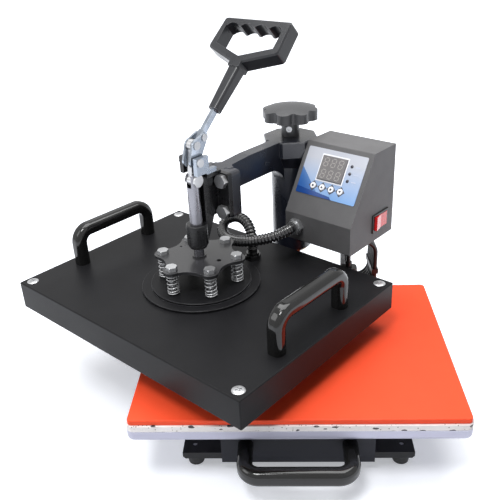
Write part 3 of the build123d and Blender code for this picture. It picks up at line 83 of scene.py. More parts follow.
# Corners of the heater hose's route, in the arm's axes, in millimetres
HOSE_ROUTE = ((55, 122, 210), (55, 103, 210), (44, 89, 205), (24, 78, 199), (1, 72, 194), (-22, 75, 191),
              (-36, 81, 192.5), (-44.5, 90, 198.5), (-42, 98, 207), (-30, 101, 213), (-16, 101, 214),
              (-3, 98, 210), (6, 94, 201), (9.5, 91.4, 189), (9.5, 91.4, 173.2))
POINTS_A_RIB = 8

# The clamp's right ear, which is plated: height of its foot and its inner face, in millimetres
EAR_FOOT = 312.2
EAR_INNER = 2

# The hank's middle and the cord's lead-in below the strain relief, the step aside of the hank's last fold
# and the cord's run into its plug, in millimetres
HANK_DROP = 28.5
CORD_LEAD = 12
LAST_FOLD_SHIFT = 6.6
CORD_TAIL = 7

# The strain relief: distance from the box and radius of its collar, then its ribs and tip, in millimetres
RELIEF_R = 5.3
RELIEF_COLLAR = ((0.0, 6.4), (3.0, 6.4), (3.2, RELIEF_R))
RELIEF_RIBS = 5
RELIEF_RIB = ((0.0, 0.0), (0.3, -0.7), (1.0, -0.7), (1.3, 0.0))
RELIEF_FIRST_RIB = 4.2
RELIEF_RIB_PITCH = 2.4
RELIEF_TAPER = 1.4
RELIEF_TIP_R = 3.55

# Springs round the plunger: their angles in degrees, the radius of their circle in millimetres and how
# flat their ends lie, from 0 to 1
SPRING_PLACES = range(30, 390, 60)
SPRING_CIRCLE_R = 48.5
SPRING_END_FLATNESS = 0.55

# Corner radius of the foam sheet and how far its sides draw in, in millimetres
FOAM_CORNER_R = 9
FOAM_DRAWN_IN = 0.25

# The cover's corner screws: half their span each way, then the head and its cross, in millimetres
SCREW_HALF_SPAN = (184.9, 134.15)
SCREW_HEAD_R = 7.5
SCREW_DOME = 1.6
SCREW_SINK = 2.0
CROSS_HALF_WIDTH = 0.75
CROSS_REACH = 4.0
CROSS_DEPTH = 1.2

# The panel's film, in millimetres from its lower left corner: where its silvery grey sets in, which is its
# own silver with painted sheen, its blue corner and the dark stripe at its foot
SILVER_SHEEN = (30, 80)
CORNER_SLOPE = 0.95
CORNER_FADE = (34, 74)
CORNER = (70.6, 70.2)
STRIPE_TOP = 38.5
STRIPE_FALL = 0.10
STRIPE_END = 92

# Undersides and tops of the panel's marks, in millimetres over its face
PRINT = (0.62, 0.72)
BORDER = (0.6, 0.8)
LENS = (0.6, 0.82)
SIGN = (1.72, 1.86)
DIGIT = (2.3, 2.46)

# Marks of the panel, in millimetres from its lower left corner
DISPLAY_CENTRE = (51.5, 68.4)
FRAME_LINE = 1.7
FRAME_BARS = (42.0, 34)
FRAME_HALF = (20.1, 17.6)
DIGIT_ROWS = (76.3, 60.5)
DIGIT_COLUMNS = (40.2, 51.5, 62.8)
DIGIT_SIZE = (6.2, 11.0)
LAMP_X, DASH_X = 78.5, 87.5
LAMP_RISES = (58.1, 67.9, 77.7)
BUTTON_PLACES = (30.4, 44.6, 58.8, 73.0)
BUTTON_RISE = 42.4

# Lamps of the studio: name, place, size and power
LAMPS = (("Front softbox", (-0.4, -0.9, 2.3), (0.7, 0.7), 32),
         ("Left softbox", (-1.5, -0.5, 1.3), (0.9, 0.9), 9),
         ("Right softbox", (1.5, -1.0, 1.3), (1.0, 1.4), 1),
         ("Top softbox", (0.1, 0.4, 2.1), (2.0, 1.4), 50))
LAMP_AIM = (0.0, 0.0, 0.15)

# Light of the background: the world's share that reaches the object, the floor's glow near it and how much
# that rises out to a distance
WORLD_FILL = 0.16
GLOW_NEAR = 0.40
GLOW_RISE = 0.75
GLOW_REACH = (0.30, 1.10)


def along_arm(direction):
    """A direction in the arm's axes, in the row frame."""
    return ARM_X * direction[0] + ARM_Y * direction[1] + UP * direction[2]


def on_arm(x, y, z):
    """A place given in millimetres in the arm's axes, in the row frame."""
    return Vector((PIVOT.x, PIVOT.y, 0)) + along_arm((x, y, z)) * MM


def on_panel(x, rise, proud=0.0):
    """A place on the sloped panel, in millimetres across, up and out of it."""
    spot = PANEL_CORNER / MM + Vector((1, 0, 0)) * x + PANEL_RISE * rise + PANEL_OUT * proud
    return on_arm(*spot)


# Settings

def a_colour(name, what, default):
    """The colour of something, which the user can change."""
    return FloatVectorProperty(name=name, description="Colour of " + what, subtype="COLOR", min=0, max=1,
                               default=default)


def a_length(name, description, default, least=1.0):
    """A length that the user can change, given in millimetres."""
    return FloatProperty(name=name, description=description, unit="LENGTH", min=least * MM,
                         default=default * MM)


def an_angle(name, description, default):
    """An angle that the user can change, given in degrees."""
    return FloatProperty(name=name, description=description, unit="ROTATION", default=radians(default))


class PressColours(PropertyGroup):
    """Colours of the finishes."""
    silicone: a_colour("Silicone", "the silicone sheet", (0.86, 0.078, 0.024))
    foam: a_colour("Foam", "the foam sheet", (0.82, 0.79, 0.78))
    tray: a_colour("Tray", "the aluminium tray", (0.42, 0.42, 0.52))
    powder_coat: a_colour("Powder coat", "the black powder coat", (0.008, 0.008, 0.009))
    casting: a_colour("Casting", "the enamelled arm casting", (0.010, 0.012, 0.020))
    plastic: a_colour("Handle plastic", "the glossy handles", (0.010, 0.010, 0.010))
    grip: a_colour("Grip plastic", "the lever's grip", (0.016, 0.017, 0.020))
    zinc: a_colour("Zinc", "the zinc plating", (0.46, 0.465, 0.475))
    blue_zinc: a_colour("Blue zinc", "the lever's bluish zinc", (0.30, 0.335, 0.385))
    box_paint: a_colour("Box paint", "the control box", (0.104, 0.103, 0.106))
    label_blue: a_colour("Label blue", "the panel's film at its deepest", (0.012, 0.075, 0.33))
    rocker: a_colour("Rocker", "the mains switch", (0.80, 0.018, 0.020))


class PadSettings(PropertyGroup):
    """Sizes of the two soft sheets."""
    edge: a_length("Edge", "Rounding of the silicone sheet's edges", 1.1, least=0.2)
    corner: a_length("Corner", "Corner radius of the silicone sheet", 5.0)
    foam_edge: a_length("Foam edge", "Rounding of the foam sheet's edges", 0.7, least=0.2)


class HoseSettings(PropertyGroup):
    """Sizes of the ribbed heater hose."""
    outer: a_length("Outer radius", "Radius over the ribs", 7.5)
    root: a_length("Root radius", "Radius between the ribs", 5.9)
    plain: a_length("End radius", "Radius of the plain ends in the glands", 6.4)
    pitch: a_length("Rib pitch", "Distance from rib to rib", 4.4)


class CordSettings(PropertyGroup):
    """Sizes of the mains cord and its hank."""
    radius: a_length("Radius", "Radius of the mains cord", 3.15)
    turns: IntProperty(name="Turns", description="Turns in the hank", min=1, default=7)
    pitch: a_length("Pitch", "Distance from turn to turn", 6.9)
    fold: a_length("Fold radius", "Radius of the hank's folds", 19.5)
    run: a_length("Run", "Straight length between the folds", 37.0)
    yaw: an_angle("Yaw", "Turn of the hank about the vertical, from the arm's X axis", 42.3)


class SpringSettings(PropertyGroup):
    """Sizes of the return springs."""
    wire: a_length("Wire radius", "Radius of the spring wire", 0.8, least=0.2)
    coil: a_length("Coil radius", "Mean radius of the coil", 7.0)
    turns: FloatProperty(name="Turns", description="Turns of each spring", min=2, default=7.0)


class StageSettings(PropertyGroup):
    """Camera and floor."""
    lens: FloatProperty(name="Lens", description="Focal length of the camera, in millimetres",
                        min=10, default=48.2)
    offset: FloatVectorProperty(name="Camera", description="Camera's place from the centre of the pad's face",
                                unit="LENGTH", default=(-0.00717, -0.71253, 0.49932))
    yaw: an_angle("Yaw", "Camera's turn to the right", -3.604)
    pitch: an_angle("Pitch", "Camera's tilt below the horizon", 26.99)
    roll: an_angle("Roll", "Camera's roll", -2.796)
    floor: a_colour("Floor", "the floor", (0.80, 0.82, 0.86))


GROUPS = {"colours": PressColours, "pads": PadSettings, "hose": HoseSettings, "cord": CordSettings,
          "springs": SpringSettings, "stage": StageSettings}


class PressSettings(PropertyGroup):
    """Everything a user would change on the press."""
    __annotations__ = {name: PointerProperty(type=group) for name, group in GROUPS.items()}


def settings():
    """The press's settings in this scene."""
    return bpy.context.scene.heat_press


# Shader nodes

def feed(tree, value, socket):
    """Gives a node's input another node's output, or a plain value."""
    if isinstance(value, bpy.types.NodeSocket):
        tree.links.new(value, socket)
    else:
        socket.default_value = value


def new_node(tree, kind, inputs, **options):
    """A shader node with its options, and its inputs fed by their name or number."""
    node = tree.nodes.new("ShaderNode" + kind)
    for name, value in options.items():
        setattr(node, name, value)
    for key, value in inputs.items():
        feed(tree, value, node.inputs[key])
    return node


def math_node(tree, operation, *values):
    """A Math node whose inputs are sockets or numbers."""
    return new_node(tree, "Math", dict(enumerate(values)), operation=operation).outputs[0]


def vector_node(tree, operation, *values):
    """A Vector Math node whose inputs are sockets or vectors."""
    node = new_node(tree, "VectorMath", dict(enumerate(values)), operation=operation)
    return node.outputs["Value" if operation in ("DOT_PRODUCT", "LENGTH") else "Vector"]


def noise(tree, vector, scale, detail=4.0, roughness=0.55):
    """A Noise texture's value."""
    inputs = {"Vector": vector, "Scale": scale, "Detail": detail, "Roughness": roughness}
    return new_node(tree, "TexNoise", inputs).outputs["Fac"]


def ramp(tree, value, low, high):
    """A value stretched from between two limits to 0 and 1."""
    inputs = {"Value": value, "From Min": low, "From Max": high}
    return new_node(tree, "MapRange", inputs, clamp=True).outputs["Result"]


def surface_place(tree):
    """Place on the surface, in the frame's axes."""
    return tree.nodes.new("ShaderNodeTexCoord").outputs["Object"]


def background_rays(tree):
    """1 on the rays that show the background: from the camera, in gloss and through glass."""
    rays = tree.nodes.new("ShaderNodeLightPath").outputs
    gloss = math_node(tree, "MAXIMUM", rays["Is Glossy Ray"], rays["Is Transmission Ray"])
    return math_node(tree, "MAXIMUM", rays["Is Camera Ray"], gloss)


def mix_colour(tree, mask, first, second):
    """Two colours mixed by a mask."""
    first, second = (value if isinstance(value, bpy.types.NodeSocket) else (*value, 1.0)
                     for value in (first, second))
    return new_node(tree, "Mix", {0: mask, 6: first, 7: second}, data_type="RGBA").outputs[2]


# Shader node groups that several finishes share

def group_with(name, inputs, outputs):
    """A new shader node group, from its inputs' usual values and its outputs' names."""
    group = bpy.data.node_groups.new(name, "ShaderNodeTree")
    for label, value in inputs.items():
        kind = "NodeSocketVector" if isinstance(value, tuple) else "NodeSocketFloat"
        group.interface.new_socket(name=label, in_out="INPUT", socket_type=kind).default_value = value
    for label in outputs:
        group.interface.new_socket(name=label, in_out="OUTPUT", socket_type="NodeSocketFloat")
    return group, group.nodes.new("NodeGroupInput").outputs, group.nodes.new("NodeGroupOutput").inputs


def grain_group():
    """Height of moulded or sprayed grain, and a slow change of tone."""
    group, given, out = group_with("Fine Grain", {"Scale": 900.0, "Stretch": (1, 1, 1), "Tone Scale": 25.0},
                                   ["Height", "Tone"])
    place = vector_node(group, "MULTIPLY", surface_place(group), given["Stretch"])
    fine = noise(group, place, given["Scale"], detail=3.0)
    slow = noise(group, place, given["Tone Scale"], detail=5.0)
    feed(group, fine, out["Height"])
    feed(group, ramp(group, slow, 0.3, 0.7), out["Tone"])
    return group


def wear_and_shading_group():
    """A mask that is bright on edges, broken up by noise."""
    group, given, out = group_with("Edge Wear", {"Width": 0.001, "Breakup": 140.0}, ["Mask"])
    bevel = new_node(group, "Bevel", {"Radius": given["Width"]}, samples=4)
    flat = group.nodes.new("ShaderNodeNewGeometry").outputs["Normal"]
    same = vector_node(group, "DOT_PRODUCT", bevel.outputs["Normal"], flat)
    edge = ramp(group, math_node(group, "SUBTRACT", 1.0, same), 0.02, 0.22)
    patches = ramp(group, noise(group, surface_place(group), given["Breakup"]), 0.35, 0.65)
    patches = math_node(group, "MULTIPLY_ADD", patches, 0.6, 0.4)
    feed(group, math_node(group, "MULTIPLY", edge, patches), out["Mask"])
    return group


def smudge_group():
    """Roughness that drifts between two values, as on handled surfaces."""
    group, given, out = group_with("Smudges", {"Scale": 18.0, "Low": 0.3, "High": 0.45}, ["Roughness"])
    drift = ramp(group, noise(group, surface_place(group), given["Scale"], detail=6.0), 0.3, 0.7)
    span = math_node(group, "SUBTRACT", given["High"], given["Low"])
    feed(group, math_node(group, "MULTIPLY_ADD", drift, span, given["Low"]), out["Roughness"])
    return group


def speckle_group():
    """Scattered irregular flecks."""
    group, given, out = group_with("Speckle", {"Scale": 150.0, "Amount": 0.2, "Stretch": (1, 1, 1)}, ["Mask"])
    place = vector_node(group, "MULTIPLY", surface_place(group), given["Stretch"])
    cells = new_node(group, "TexVoronoi", {"Vector": place, "Scale": given["Scale"]}).outputs
    near = math_node(group, "LESS_THAN", cells["Distance"], 0.34)
    pick = new_node(group, "SeparateColor", {"Color": cells["Color"]}).outputs["Red"]
    chosen = math_node(group, "LESS_THAN", pick, given["Amount"])
    feed(group, math_node(group, "MULTIPLY", near, chosen), out["Mask"])
    return group


SHARED = {"Fine Grain": grain_group, "Edge Wear": wear_and_shading_group, "Smudges": smudge_group,
          "Speckle": speckle_group}


def shared(material, name, **values):
    """Places a shared effect in a material, with its own values, and gives its outputs."""
    group = bpy.data.node_groups.get(name) or SHARED[name]()
    node = material.node_tree.nodes.new("ShaderNodeGroup")
    node.node_tree = group
    for label, value in values.items():
        node.inputs[label.replace("_", " ").title()].default_value = value
    return node.outputs


def shade(colour, by):
    """A colour made lighter or darker."""
    return tuple(min(1.0, channel * by) for channel in colour)


def new_material(name):
    """A new material, its nodes and its shader."""
    material = bpy.data.materials.new(name)
    material.use_nodes = True
    return material, material.node_tree, material.node_tree.nodes["Principled BSDF"]


def finish(name, colour, rough, metallic=0.0, grain=900.0, depth=0.05, stretch=(1, 1, 1), tone=0.12,
           wear=None, edge_wear_and_shading_width=0.7, smudge=18.0, coat=0.0, specular=0.5, sheen=0.0):
    """A finish with grain, drifting tone, smudges and, if asked for, painted edges: wear on most finishes,
    painted shade on the silicone sheet and a painted highlight on the tray.
    """
    material = bpy.data.materials.get(name)
    if material:
        return material
    material, tree, shader = new_material(name)
    for label, value in (("Metallic", metallic), ("Coat Weight", coat), ("Coat Roughness", 0.12),
                         ("Specular IOR Level", specular), ("Sheen Weight", sheen)):
        shader.inputs[label].default_value = value
    texture = shared(material, "Fine Grain", scale=grain, stretch=stretch)
    base = mix_colour(tree, texture["Tone"], shade(colour, 1 - tone), shade(colour, 1 + tone))
    if wear:
        # Edge colour: wear on most finishes, painted shade on the silicone sheet and a painted highlight on
        # the tray
        wear_and_shading_mask = shared(material, "Edge Wear", width=edge_wear_and_shading_width * MM)
        edge_wear_and_shading_colour = wear if isinstance(wear, tuple) else shade(colour, wear)
        base = mix_colour(tree, wear_and_shading_mask["Mask"], base, edge_wear_and_shading_colour)
    feed(tree, base, shader.inputs["Base Color"])
    smudges = shared(material, "Smudges", scale=smudge, low=rough[0], high=rough[1])
    feed(tree, smudges["Roughness"], shader.inputs["Roughness"])
    bump = new_node(tree, "Bump", {"Strength": 1.0, "Distance": depth * MM, "Height": texture["Height"]})
    feed(tree, bump.outputs["Normal"], shader.inputs["Normal"])
    return material


# What shows where handling has rubbed black parts
RUBBED = (0.14, 0.14, 0.15)

# Finishes, by material: the colour or the setting that holds it, the range of its roughness and the rest.
# Painted edges, mostly wear, have a colour, or a share of the finish's own; on the silicone sheet they are
# painted shade and on the tray a painted highlight.
FINISHES = {
    "Black powder coat": ("powder_coat", (0.36, 0.46), dict(grain=1400, depth=0.035,
        wear=(0.16, 0.16, 0.17), edge_wear_and_shading_width=0.8, smudge=7, specular=0.11)),
    "Satin black": ((0.018, 0.018, 0.020), (0.26, 0.38), dict(grain=1200, depth=0.03,
        wear=RUBBED, smudge=24, coat=0.3)),
    "Frame coat": ("powder_coat", (0.30, 0.42), dict(grain=1100, wear=(0.08, 0.08, 0.09), smudge=12,
        specular=0.3)),
    "Front plate coat": ((0.014, 0.015, 0.022), (0.34, 0.46), dict(grain=1100, depth=0.04, specular=0.22)),
    "Arm enamel": ("casting", (0.24, 0.40), dict(grain=420, depth=0.22, wear=(0.12, 0.125, 0.14),
        edge_wear_and_shading_width=1.2, smudge=26, coat=0.25)),
    "Clamp enamel": ((0.007, 0.007, 0.008), (0.20, 0.34), dict(grain=520, depth=0.15,
        wear=RUBBED, edge_wear_and_shading_width=0.9, smudge=30, specular=0.35)),
    "Handle plastic": ("plastic", (0.06, 0.12), dict(grain=260, depth=0.03, smudge=30, specular=0.38)),
    "Grip plastic": ("grip", (0.24, 0.36), dict(grain=800, wear=RUBBED, edge_wear_and_shading_width=1.0,
        smudge=24, specular=0.4)),
    "Knob plastic": ((0.020, 0.021, 0.024), (0.34, 0.46), dict(grain=620, depth=0.25,
        wear=(0.09, 0.09, 0.10), edge_wear_and_shading_width=1.5, coat=0.1, specular=0.6)),
    "Zinc plating": ("zinc", (0.26, 0.42), dict(metallic=0.85, grain=700, depth=0.03, tone=0.18,
        wear=(0.80, 0.81, 0.83), edge_wear_and_shading_width=0.6, smudge=60)),
    "Blue zinc": ("blue_zinc", (0.18, 0.34), dict(metallic=0.9, grain=500, depth=0.03,
        stretch=(3.0, 3.0, 0.6), tone=0.30, wear=(0.75, 0.78, 0.82), smudge=40)),
    "Polished chrome": ((0.74, 0.74, 0.76), (0.07, 0.14), dict(metallic=1.0, grain=700, depth=0.004,
        stretch=(0.5, 0.5, 6.0), tone=0.05, smudge=25)),
    "Turned steel": ((0.20, 0.20, 0.22), (0.20, 0.34), dict(metallic=1.0, grain=600, depth=0.01,
        stretch=(2.0, 2.0, 0.15), tone=0.25, smudge=30)),
    "Oiled bronze": ((0.42, 0.26, 0.10), (0.22, 0.40), dict(metallic=1.0, tone=0.2)),
    # The tray's pale edges are a painted highlight
    "Tray aluminium": ("tray", (0.30, 0.44), dict(metallic=0.35, grain=500, depth=0.03,
        stretch=(0.25, 2.0, 2.0), tone=0.08, wear=(0.85, 0.85, 0.90), edge_wear_and_shading_width=1.4)),
    "Heater aluminium": ((0.12, 0.11, 0.10), (0.40, 0.52), dict(metallic=0.4, depth=0.04)),
    "Ceramic wool": ((0.74, 0.72, 0.64), (0.85, 0.95), dict(grain=350, depth=0.8, sheen=0.3)),
    "Black rubber": ((0.018, 0.018, 0.018), (0.55, 0.70), dict(grain=700, depth=0.12)),
    "Cord sheath": ((0.012, 0.012, 0.013), (0.30, 0.42), dict(depth=0.03, specular=0.55)),
    "Hose plastic": ((0.012, 0.012, 0.013), (0.08, 0.14), dict(grain=700, depth=0.01, specular=0.7,
        coat=0.2)),
    "Box paint": ("box_paint", (0.36, 0.48), dict(grain=1600, wear=(0.24, 0.24, 0.25), edge_wear_and_shading_width=0.6,
        smudge=10, specular=0.22)),
    "White print": ((0.78, 0.79, 0.84), (0.20, 0.28), dict(grain=1200, depth=0.01, tone=0.04)),
    "Dark print": ((0.035, 0.035, 0.05), (0.25, 0.35), dict(grain=1200, depth=0.01)),
    "Grey print": ((0.42, 0.46, 0.58), (0.25, 0.35), dict(grain=1200, depth=0.01)),
    "Button plastic": ((0.76, 0.77, 0.80), (0.18, 0.28), dict(depth=0.02, tone=0.05, coat=0.3)),
    "Rocker plastic": ("rocker", (0.14, 0.24), dict(grain=500, depth=0.03, tone=0.15, coat=0.5)),
    "Board green": ((0.02, 0.16, 0.06), (0.3, 0.4), dict()),
    "Display face": ((0.165, 0.158, 0.158), (0.22, 0.30), dict(depth=0.004, tone=0.06, specular=0.2)),
    "Display segments": ((0.31, 0.29, 0.285), (0.22, 0.30), dict(depth=0.004, tone=0.05, specular=0.2)),
    # The silicone sheet's darker rim is painted shade
    "Silicone sheet": ("silicone", (0.48, 0.62), dict(grain=700, tone=0.035, wear=0.55, edge_wear_and_shading_width=0.3,
        smudge=9, specular=0.25)),
    "Flecked foam": ("foam", (0.8, 0.95), dict(grain=420, depth=0.5, tone=0.10)),
}


def made(name):
    """The material of a finish in the table."""
    colour, rough, values = FINISHES[name]
    if isinstance(colour, str):
        colour = getattr(settings().colours, colour)
    return finish(name, colour, rough, **values)


def under_paint(material):
    """A material's nodes, its shader and the colour that it has so far."""
    shader = material.node_tree.nodes["Principled BSDF"]
    return material.node_tree, shader, shader.inputs["Base Color"].links[0].from_socket


def clamp_enamel():
    """Enamel over the clamp's casting, with its right ear left in bluish plating."""
    material = made("Clamp enamel")
    tree, shader, before = under_paint(material)
    place = vector_node(tree, "SUBTRACT", surface_place(tree), tuple(on_arm(0, 0, EAR_FOOT)))
    across = vector_node(tree, "DOT_PRODUCT", place, ARM_X)
    above = vector_node(tree, "DOT_PRODUCT", place, UP)
    plated = math_node(tree, "MULTIPLY", math_node(tree, "GREATER_THAN", across, EAR_INNER * MM),
                       math_node(tree, "GREATER_THAN", above, 0.0))
    base = mix_colour(tree, plated, before, settings().colours.blue_zinc)
    feed(tree, base, shader.inputs["Base Color"])
    feed(tree, math_node(tree, "MULTIPLY", plated, 0.8), shader.inputs["Metallic"])
    return material


def foam():
    """Pale foam with dark flecks and open cells."""
    name = "Flecked foam"
    material = bpy.data.materials.get(name)
    if material:
        return material
    material = made(name)
    tree, shader, before = under_paint(material)
    flecks = shared(material, "Speckle", scale=210.0, amount=0.24, stretch=(0.45, 0.45, 1.2))
    dark = mix_colour(tree, flecks["Mask"], before, (0.06, 0.055, 0.06))
    crumbs = shared(material, "Speckle", scale=420.0, amount=0.16)
    base = mix_colour(tree, crumbs["Mask"], dark, (0.34, 0.32, 0.30))
    feed(tree, base, shader.inputs["Base Color"])
    return material


def label_film():
    """Blue film that turns silvery towards the top, its own silver with painted sheen, with a blue corner and
    a dark stripe.
    """
    material, tree, shader = new_material("Panel film")
    place = vector_node(tree, "SUBTRACT", surface_place(tree), on_panel(0, 0))
    across = vector_node(tree, "DOT_PRODUCT", place, ARM_X)
    rise = vector_node(tree, "DOT_PRODUCT", place, along_arm(PANEL_RISE))
    deep = settings().colours.label_blue
    silver_sheen, fade, corner = ([limit * MM for limit in limits] for limits in (SILVER_SHEEN, CORNER_FADE, CORNER))
    # Silvery grey towards the top: the film's own silver with painted sheen
    base = mix_colour(tree, ramp(tree, rise, *silver_sheen), (0.17, 0.34, 0.64), (0.46, 0.48, 0.54))
    slope = math_node(tree, "MULTIPLY_ADD", across, CORNER_SLOPE, rise)
    blue = mix_colour(tree, ramp(tree, slope, *fade), deep, (0.05, 0.16, 0.40))
    base = mix_colour(tree, ramp(tree, slope, *corner), base, blue)
    stripe_top = math_node(tree, "MULTIPLY_ADD", across, -STRIPE_FALL, STRIPE_TOP * MM)
    stripe = math_node(tree, "MULTIPLY", math_node(tree, "LESS_THAN", rise, stripe_top),
                       math_node(tree, "LESS_THAN", math_node(tree, "ADD", across, rise), STRIPE_END * MM))
    feed(tree, mix_colour(tree, stripe, base, shade(deep, 0.7)), shader.inputs["Base Color"])
    smudges = shared(material, "Smudges", low=0.20, high=0.30)
    feed(tree, smudges["Roughness"], shader.inputs["Roughness"])
    shader.inputs["Specular IOR Level"].default_value = 0.3
    return material


# Mesh tools

def new_object(name, data):
    """A new object in the scene."""
    thing = bpy.data.objects.new(name, data)
    bpy.context.scene.collection.objects.link(thing)
    return thing


def add_piece(name, mesh, material, body=None, smooth=True):
    """Links a mesh as a piece with its finish, and lets it ride on a body if one is given."""
    piece = new_object(name, mesh)
    mesh.materials.append(material)
    for polygon in mesh.polygons:
        polygon.use_smooth = smooth
    if body:
        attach(piece, body)
    return piece


def mesh_from(name, vertices, faces):
    """A mesh from lists, with its normals made consistent."""
    mesh = bpy.data.meshes.new(name)
    mesh.from_pydata([tuple(vertex) for vertex in vertices], [], faces)
    work = bmesh.new()
    work.from_mesh(mesh)
    bmesh.ops.recalc_face_normals(work, faces=work.faces)
    work.to_mesh(mesh)
    work.free()
    return mesh


def add_skin(name, shape, look, body=None, smooth=False):
    """Makes a piece from vertices and faces, with a finish of the table."""
    return add_piece(name, mesh_from(name, *shape), made(look), body, smooth)


def join_rings(rings):
    """Vertices and faces of a skin through rings of equal length, closed at both ends."""
    count = len(rings[0])
    faces = []
    for start in range(0, (len(rings) - 1) * count, count):
        for j in range(count):
            a, b = start + j, start + (j + 1) % count
            faces.append((a, b, b + count, a + count))
    faces.append(tuple(reversed(range(count))))
    faces.append(tuple(range((len(rings) - 1) * count, len(rings) * count)))
    return [spot for ring in rings for spot in ring], faces


def ring_round(centre, heading, steady, radius, sides):
    """Points of a circle round a heading."""
    side = (steady - heading * steady.dot(heading)).normalized()
    other = heading.cross(side)
    return [centre + (side * cos(2 * pi * j / sides) + other * sin(2 * pi * j / sides)) * radius
            for j in range(sides)]


def carried_frames(points):
    """Heading and carried side direction at each point of a path."""
    headings = [(points[min(k + 1, len(points) - 1)] - points[max(k - 1, 0)]).normalized()
                for k in range(len(points))]
    side = headings[0].orthogonal().normalized()
    frames = []
    for heading in headings:
        side = (side - heading * side.dot(heading)).normalized()
        frames.append((heading, side))
    return frames


def tube(points, radii, sides):
    """A tube round a path, with its own radius at each point."""
    rings = [ring_round(spot, heading, side, radius, sides)
             for spot, radius, (heading, side) in zip(points, radii, carried_frames(points))]
    return join_rings(rings)


def evenly(points, step):
    """Points at even distances along a path."""
    lengths = [0.0]
    for a, b in zip(points, points[1:]):
        lengths.append(lengths[-1] + (b - a).length)
    count = ceil(lengths[-1] / step)
    result, k = [], 0
    for n in range(count + 1):
        target = lengths[-1] * n / count
        while k < len(points) - 2 and lengths[k + 1] < target:
            k += 1
        share = (target - lengths[k]) / max(lengths[k + 1] - lengths[k], 1e-9)
        result.append(points[k].lerp(points[k + 1], share))
    return result


def route_curve(name, points):
    """A smooth NURBS curve with the route's points as its control points."""
    curve = bpy.data.curves.new(name, "CURVE")
    curve.dimensions = "3D"
    curve.resolution_u = 10
    spline = curve.splines.new("NURBS")
    spline.points.add(len(points) - 1)
    for control, spot in zip(spline.points, points):
        control.co = (*spot, 1.0)
    spline.order_u = 3
    spline.use_endpoint_u = True
    return curve


def curve_line(curve):
    """Points along a curve that has no bevel."""
    guide = bpy.data.objects.new(curve.name + "_guide", curve)
    line = bpy.data.meshes.new_from_object(guide)
    points = [vertex.co.copy() for vertex in line.vertices]
    bpy.data.meshes.remove(line)
    bpy.data.objects.remove(guide)
    return points


def rounded_outline(half_x, half_y, corner, steps=8):
    """Corner-rounded rectangle in the XY plane, as points round it."""
    points = []
    for sx, sy, start in ((1, 1, 0), (-1, 1, 90), (-1, -1, 180), (1, -1, 270)):
        for k in range(steps + 1):
            turn = radians(start + 90 * k / steps)
            points.append(Vector((sx * (half_x - corner) + corner * cos(turn),
                                  sy * (half_y - corner) + corner * sin(turn), 0)))
    return points


def rounded_sheet(name, low, high, corner, edge, crown=0.0, steps=4):
    """A sheet with rounded corners and edges, whose sides may swell or draw in by a crown."""
    centre = (low + high) / 2
    half = (high - low) / 2
    turns = [pi / 2 * k / steps for k in range(steps + 1)]
    profile = [(edge * (1 - sin(turn)), low.z + edge * (1 - cos(turn))) for turn in turns]
    profile += [(-crown * sin(pi * k / 4), low.z + edge + (high.z - low.z - 2 * edge) * k / 4)
                for k in (1, 2, 3)]
    profile += [(edge * (1 - cos(turn)), high.z - edge * (1 - sin(turn))) for turn in turns]
    rings = []
    for inset, z in profile:
        ring = rounded_outline(half.x - inset, half.y - inset, corner)
        rings.append([Vector((centre.x + spot.x, centre.y + spot.y, z)) for spot in ring])
    return mesh_from(name, *join_rings(rings))


def merge(shapes):
    """Several vertex and face lists as one."""
    vertices, faces = [], []
    for some, sides in shapes:
        start = len(vertices)
        vertices += some
        faces += [tuple(start + k for k in side) for side in sides]
    return vertices, faces


def plates(outlines, levels=PRINT):
    """Vertices and faces of thin flat marks on the panel, from their outlines in millimetres."""
    return merge(join_rings([[on_panel(x, y, level) for x, y in outline] for level in levels])
                 for outline in outlines)


def rectangle(x, y, width, height):
    """Outline of a rectangle round a centre."""
    return [(x + sx * width / 2, y + sy * height / 2)
            for sx, sy in ((-1, -1), (1, -1), (1, 1), (-1, 1))]


def disc(x, y, radius, sides=20):
    """Outline of a disc."""
    return [(x + radius * cos(2 * pi * k / sides), y + radius * sin(2 * pi * k / sides))
            for k in range(sides)]


# Operators

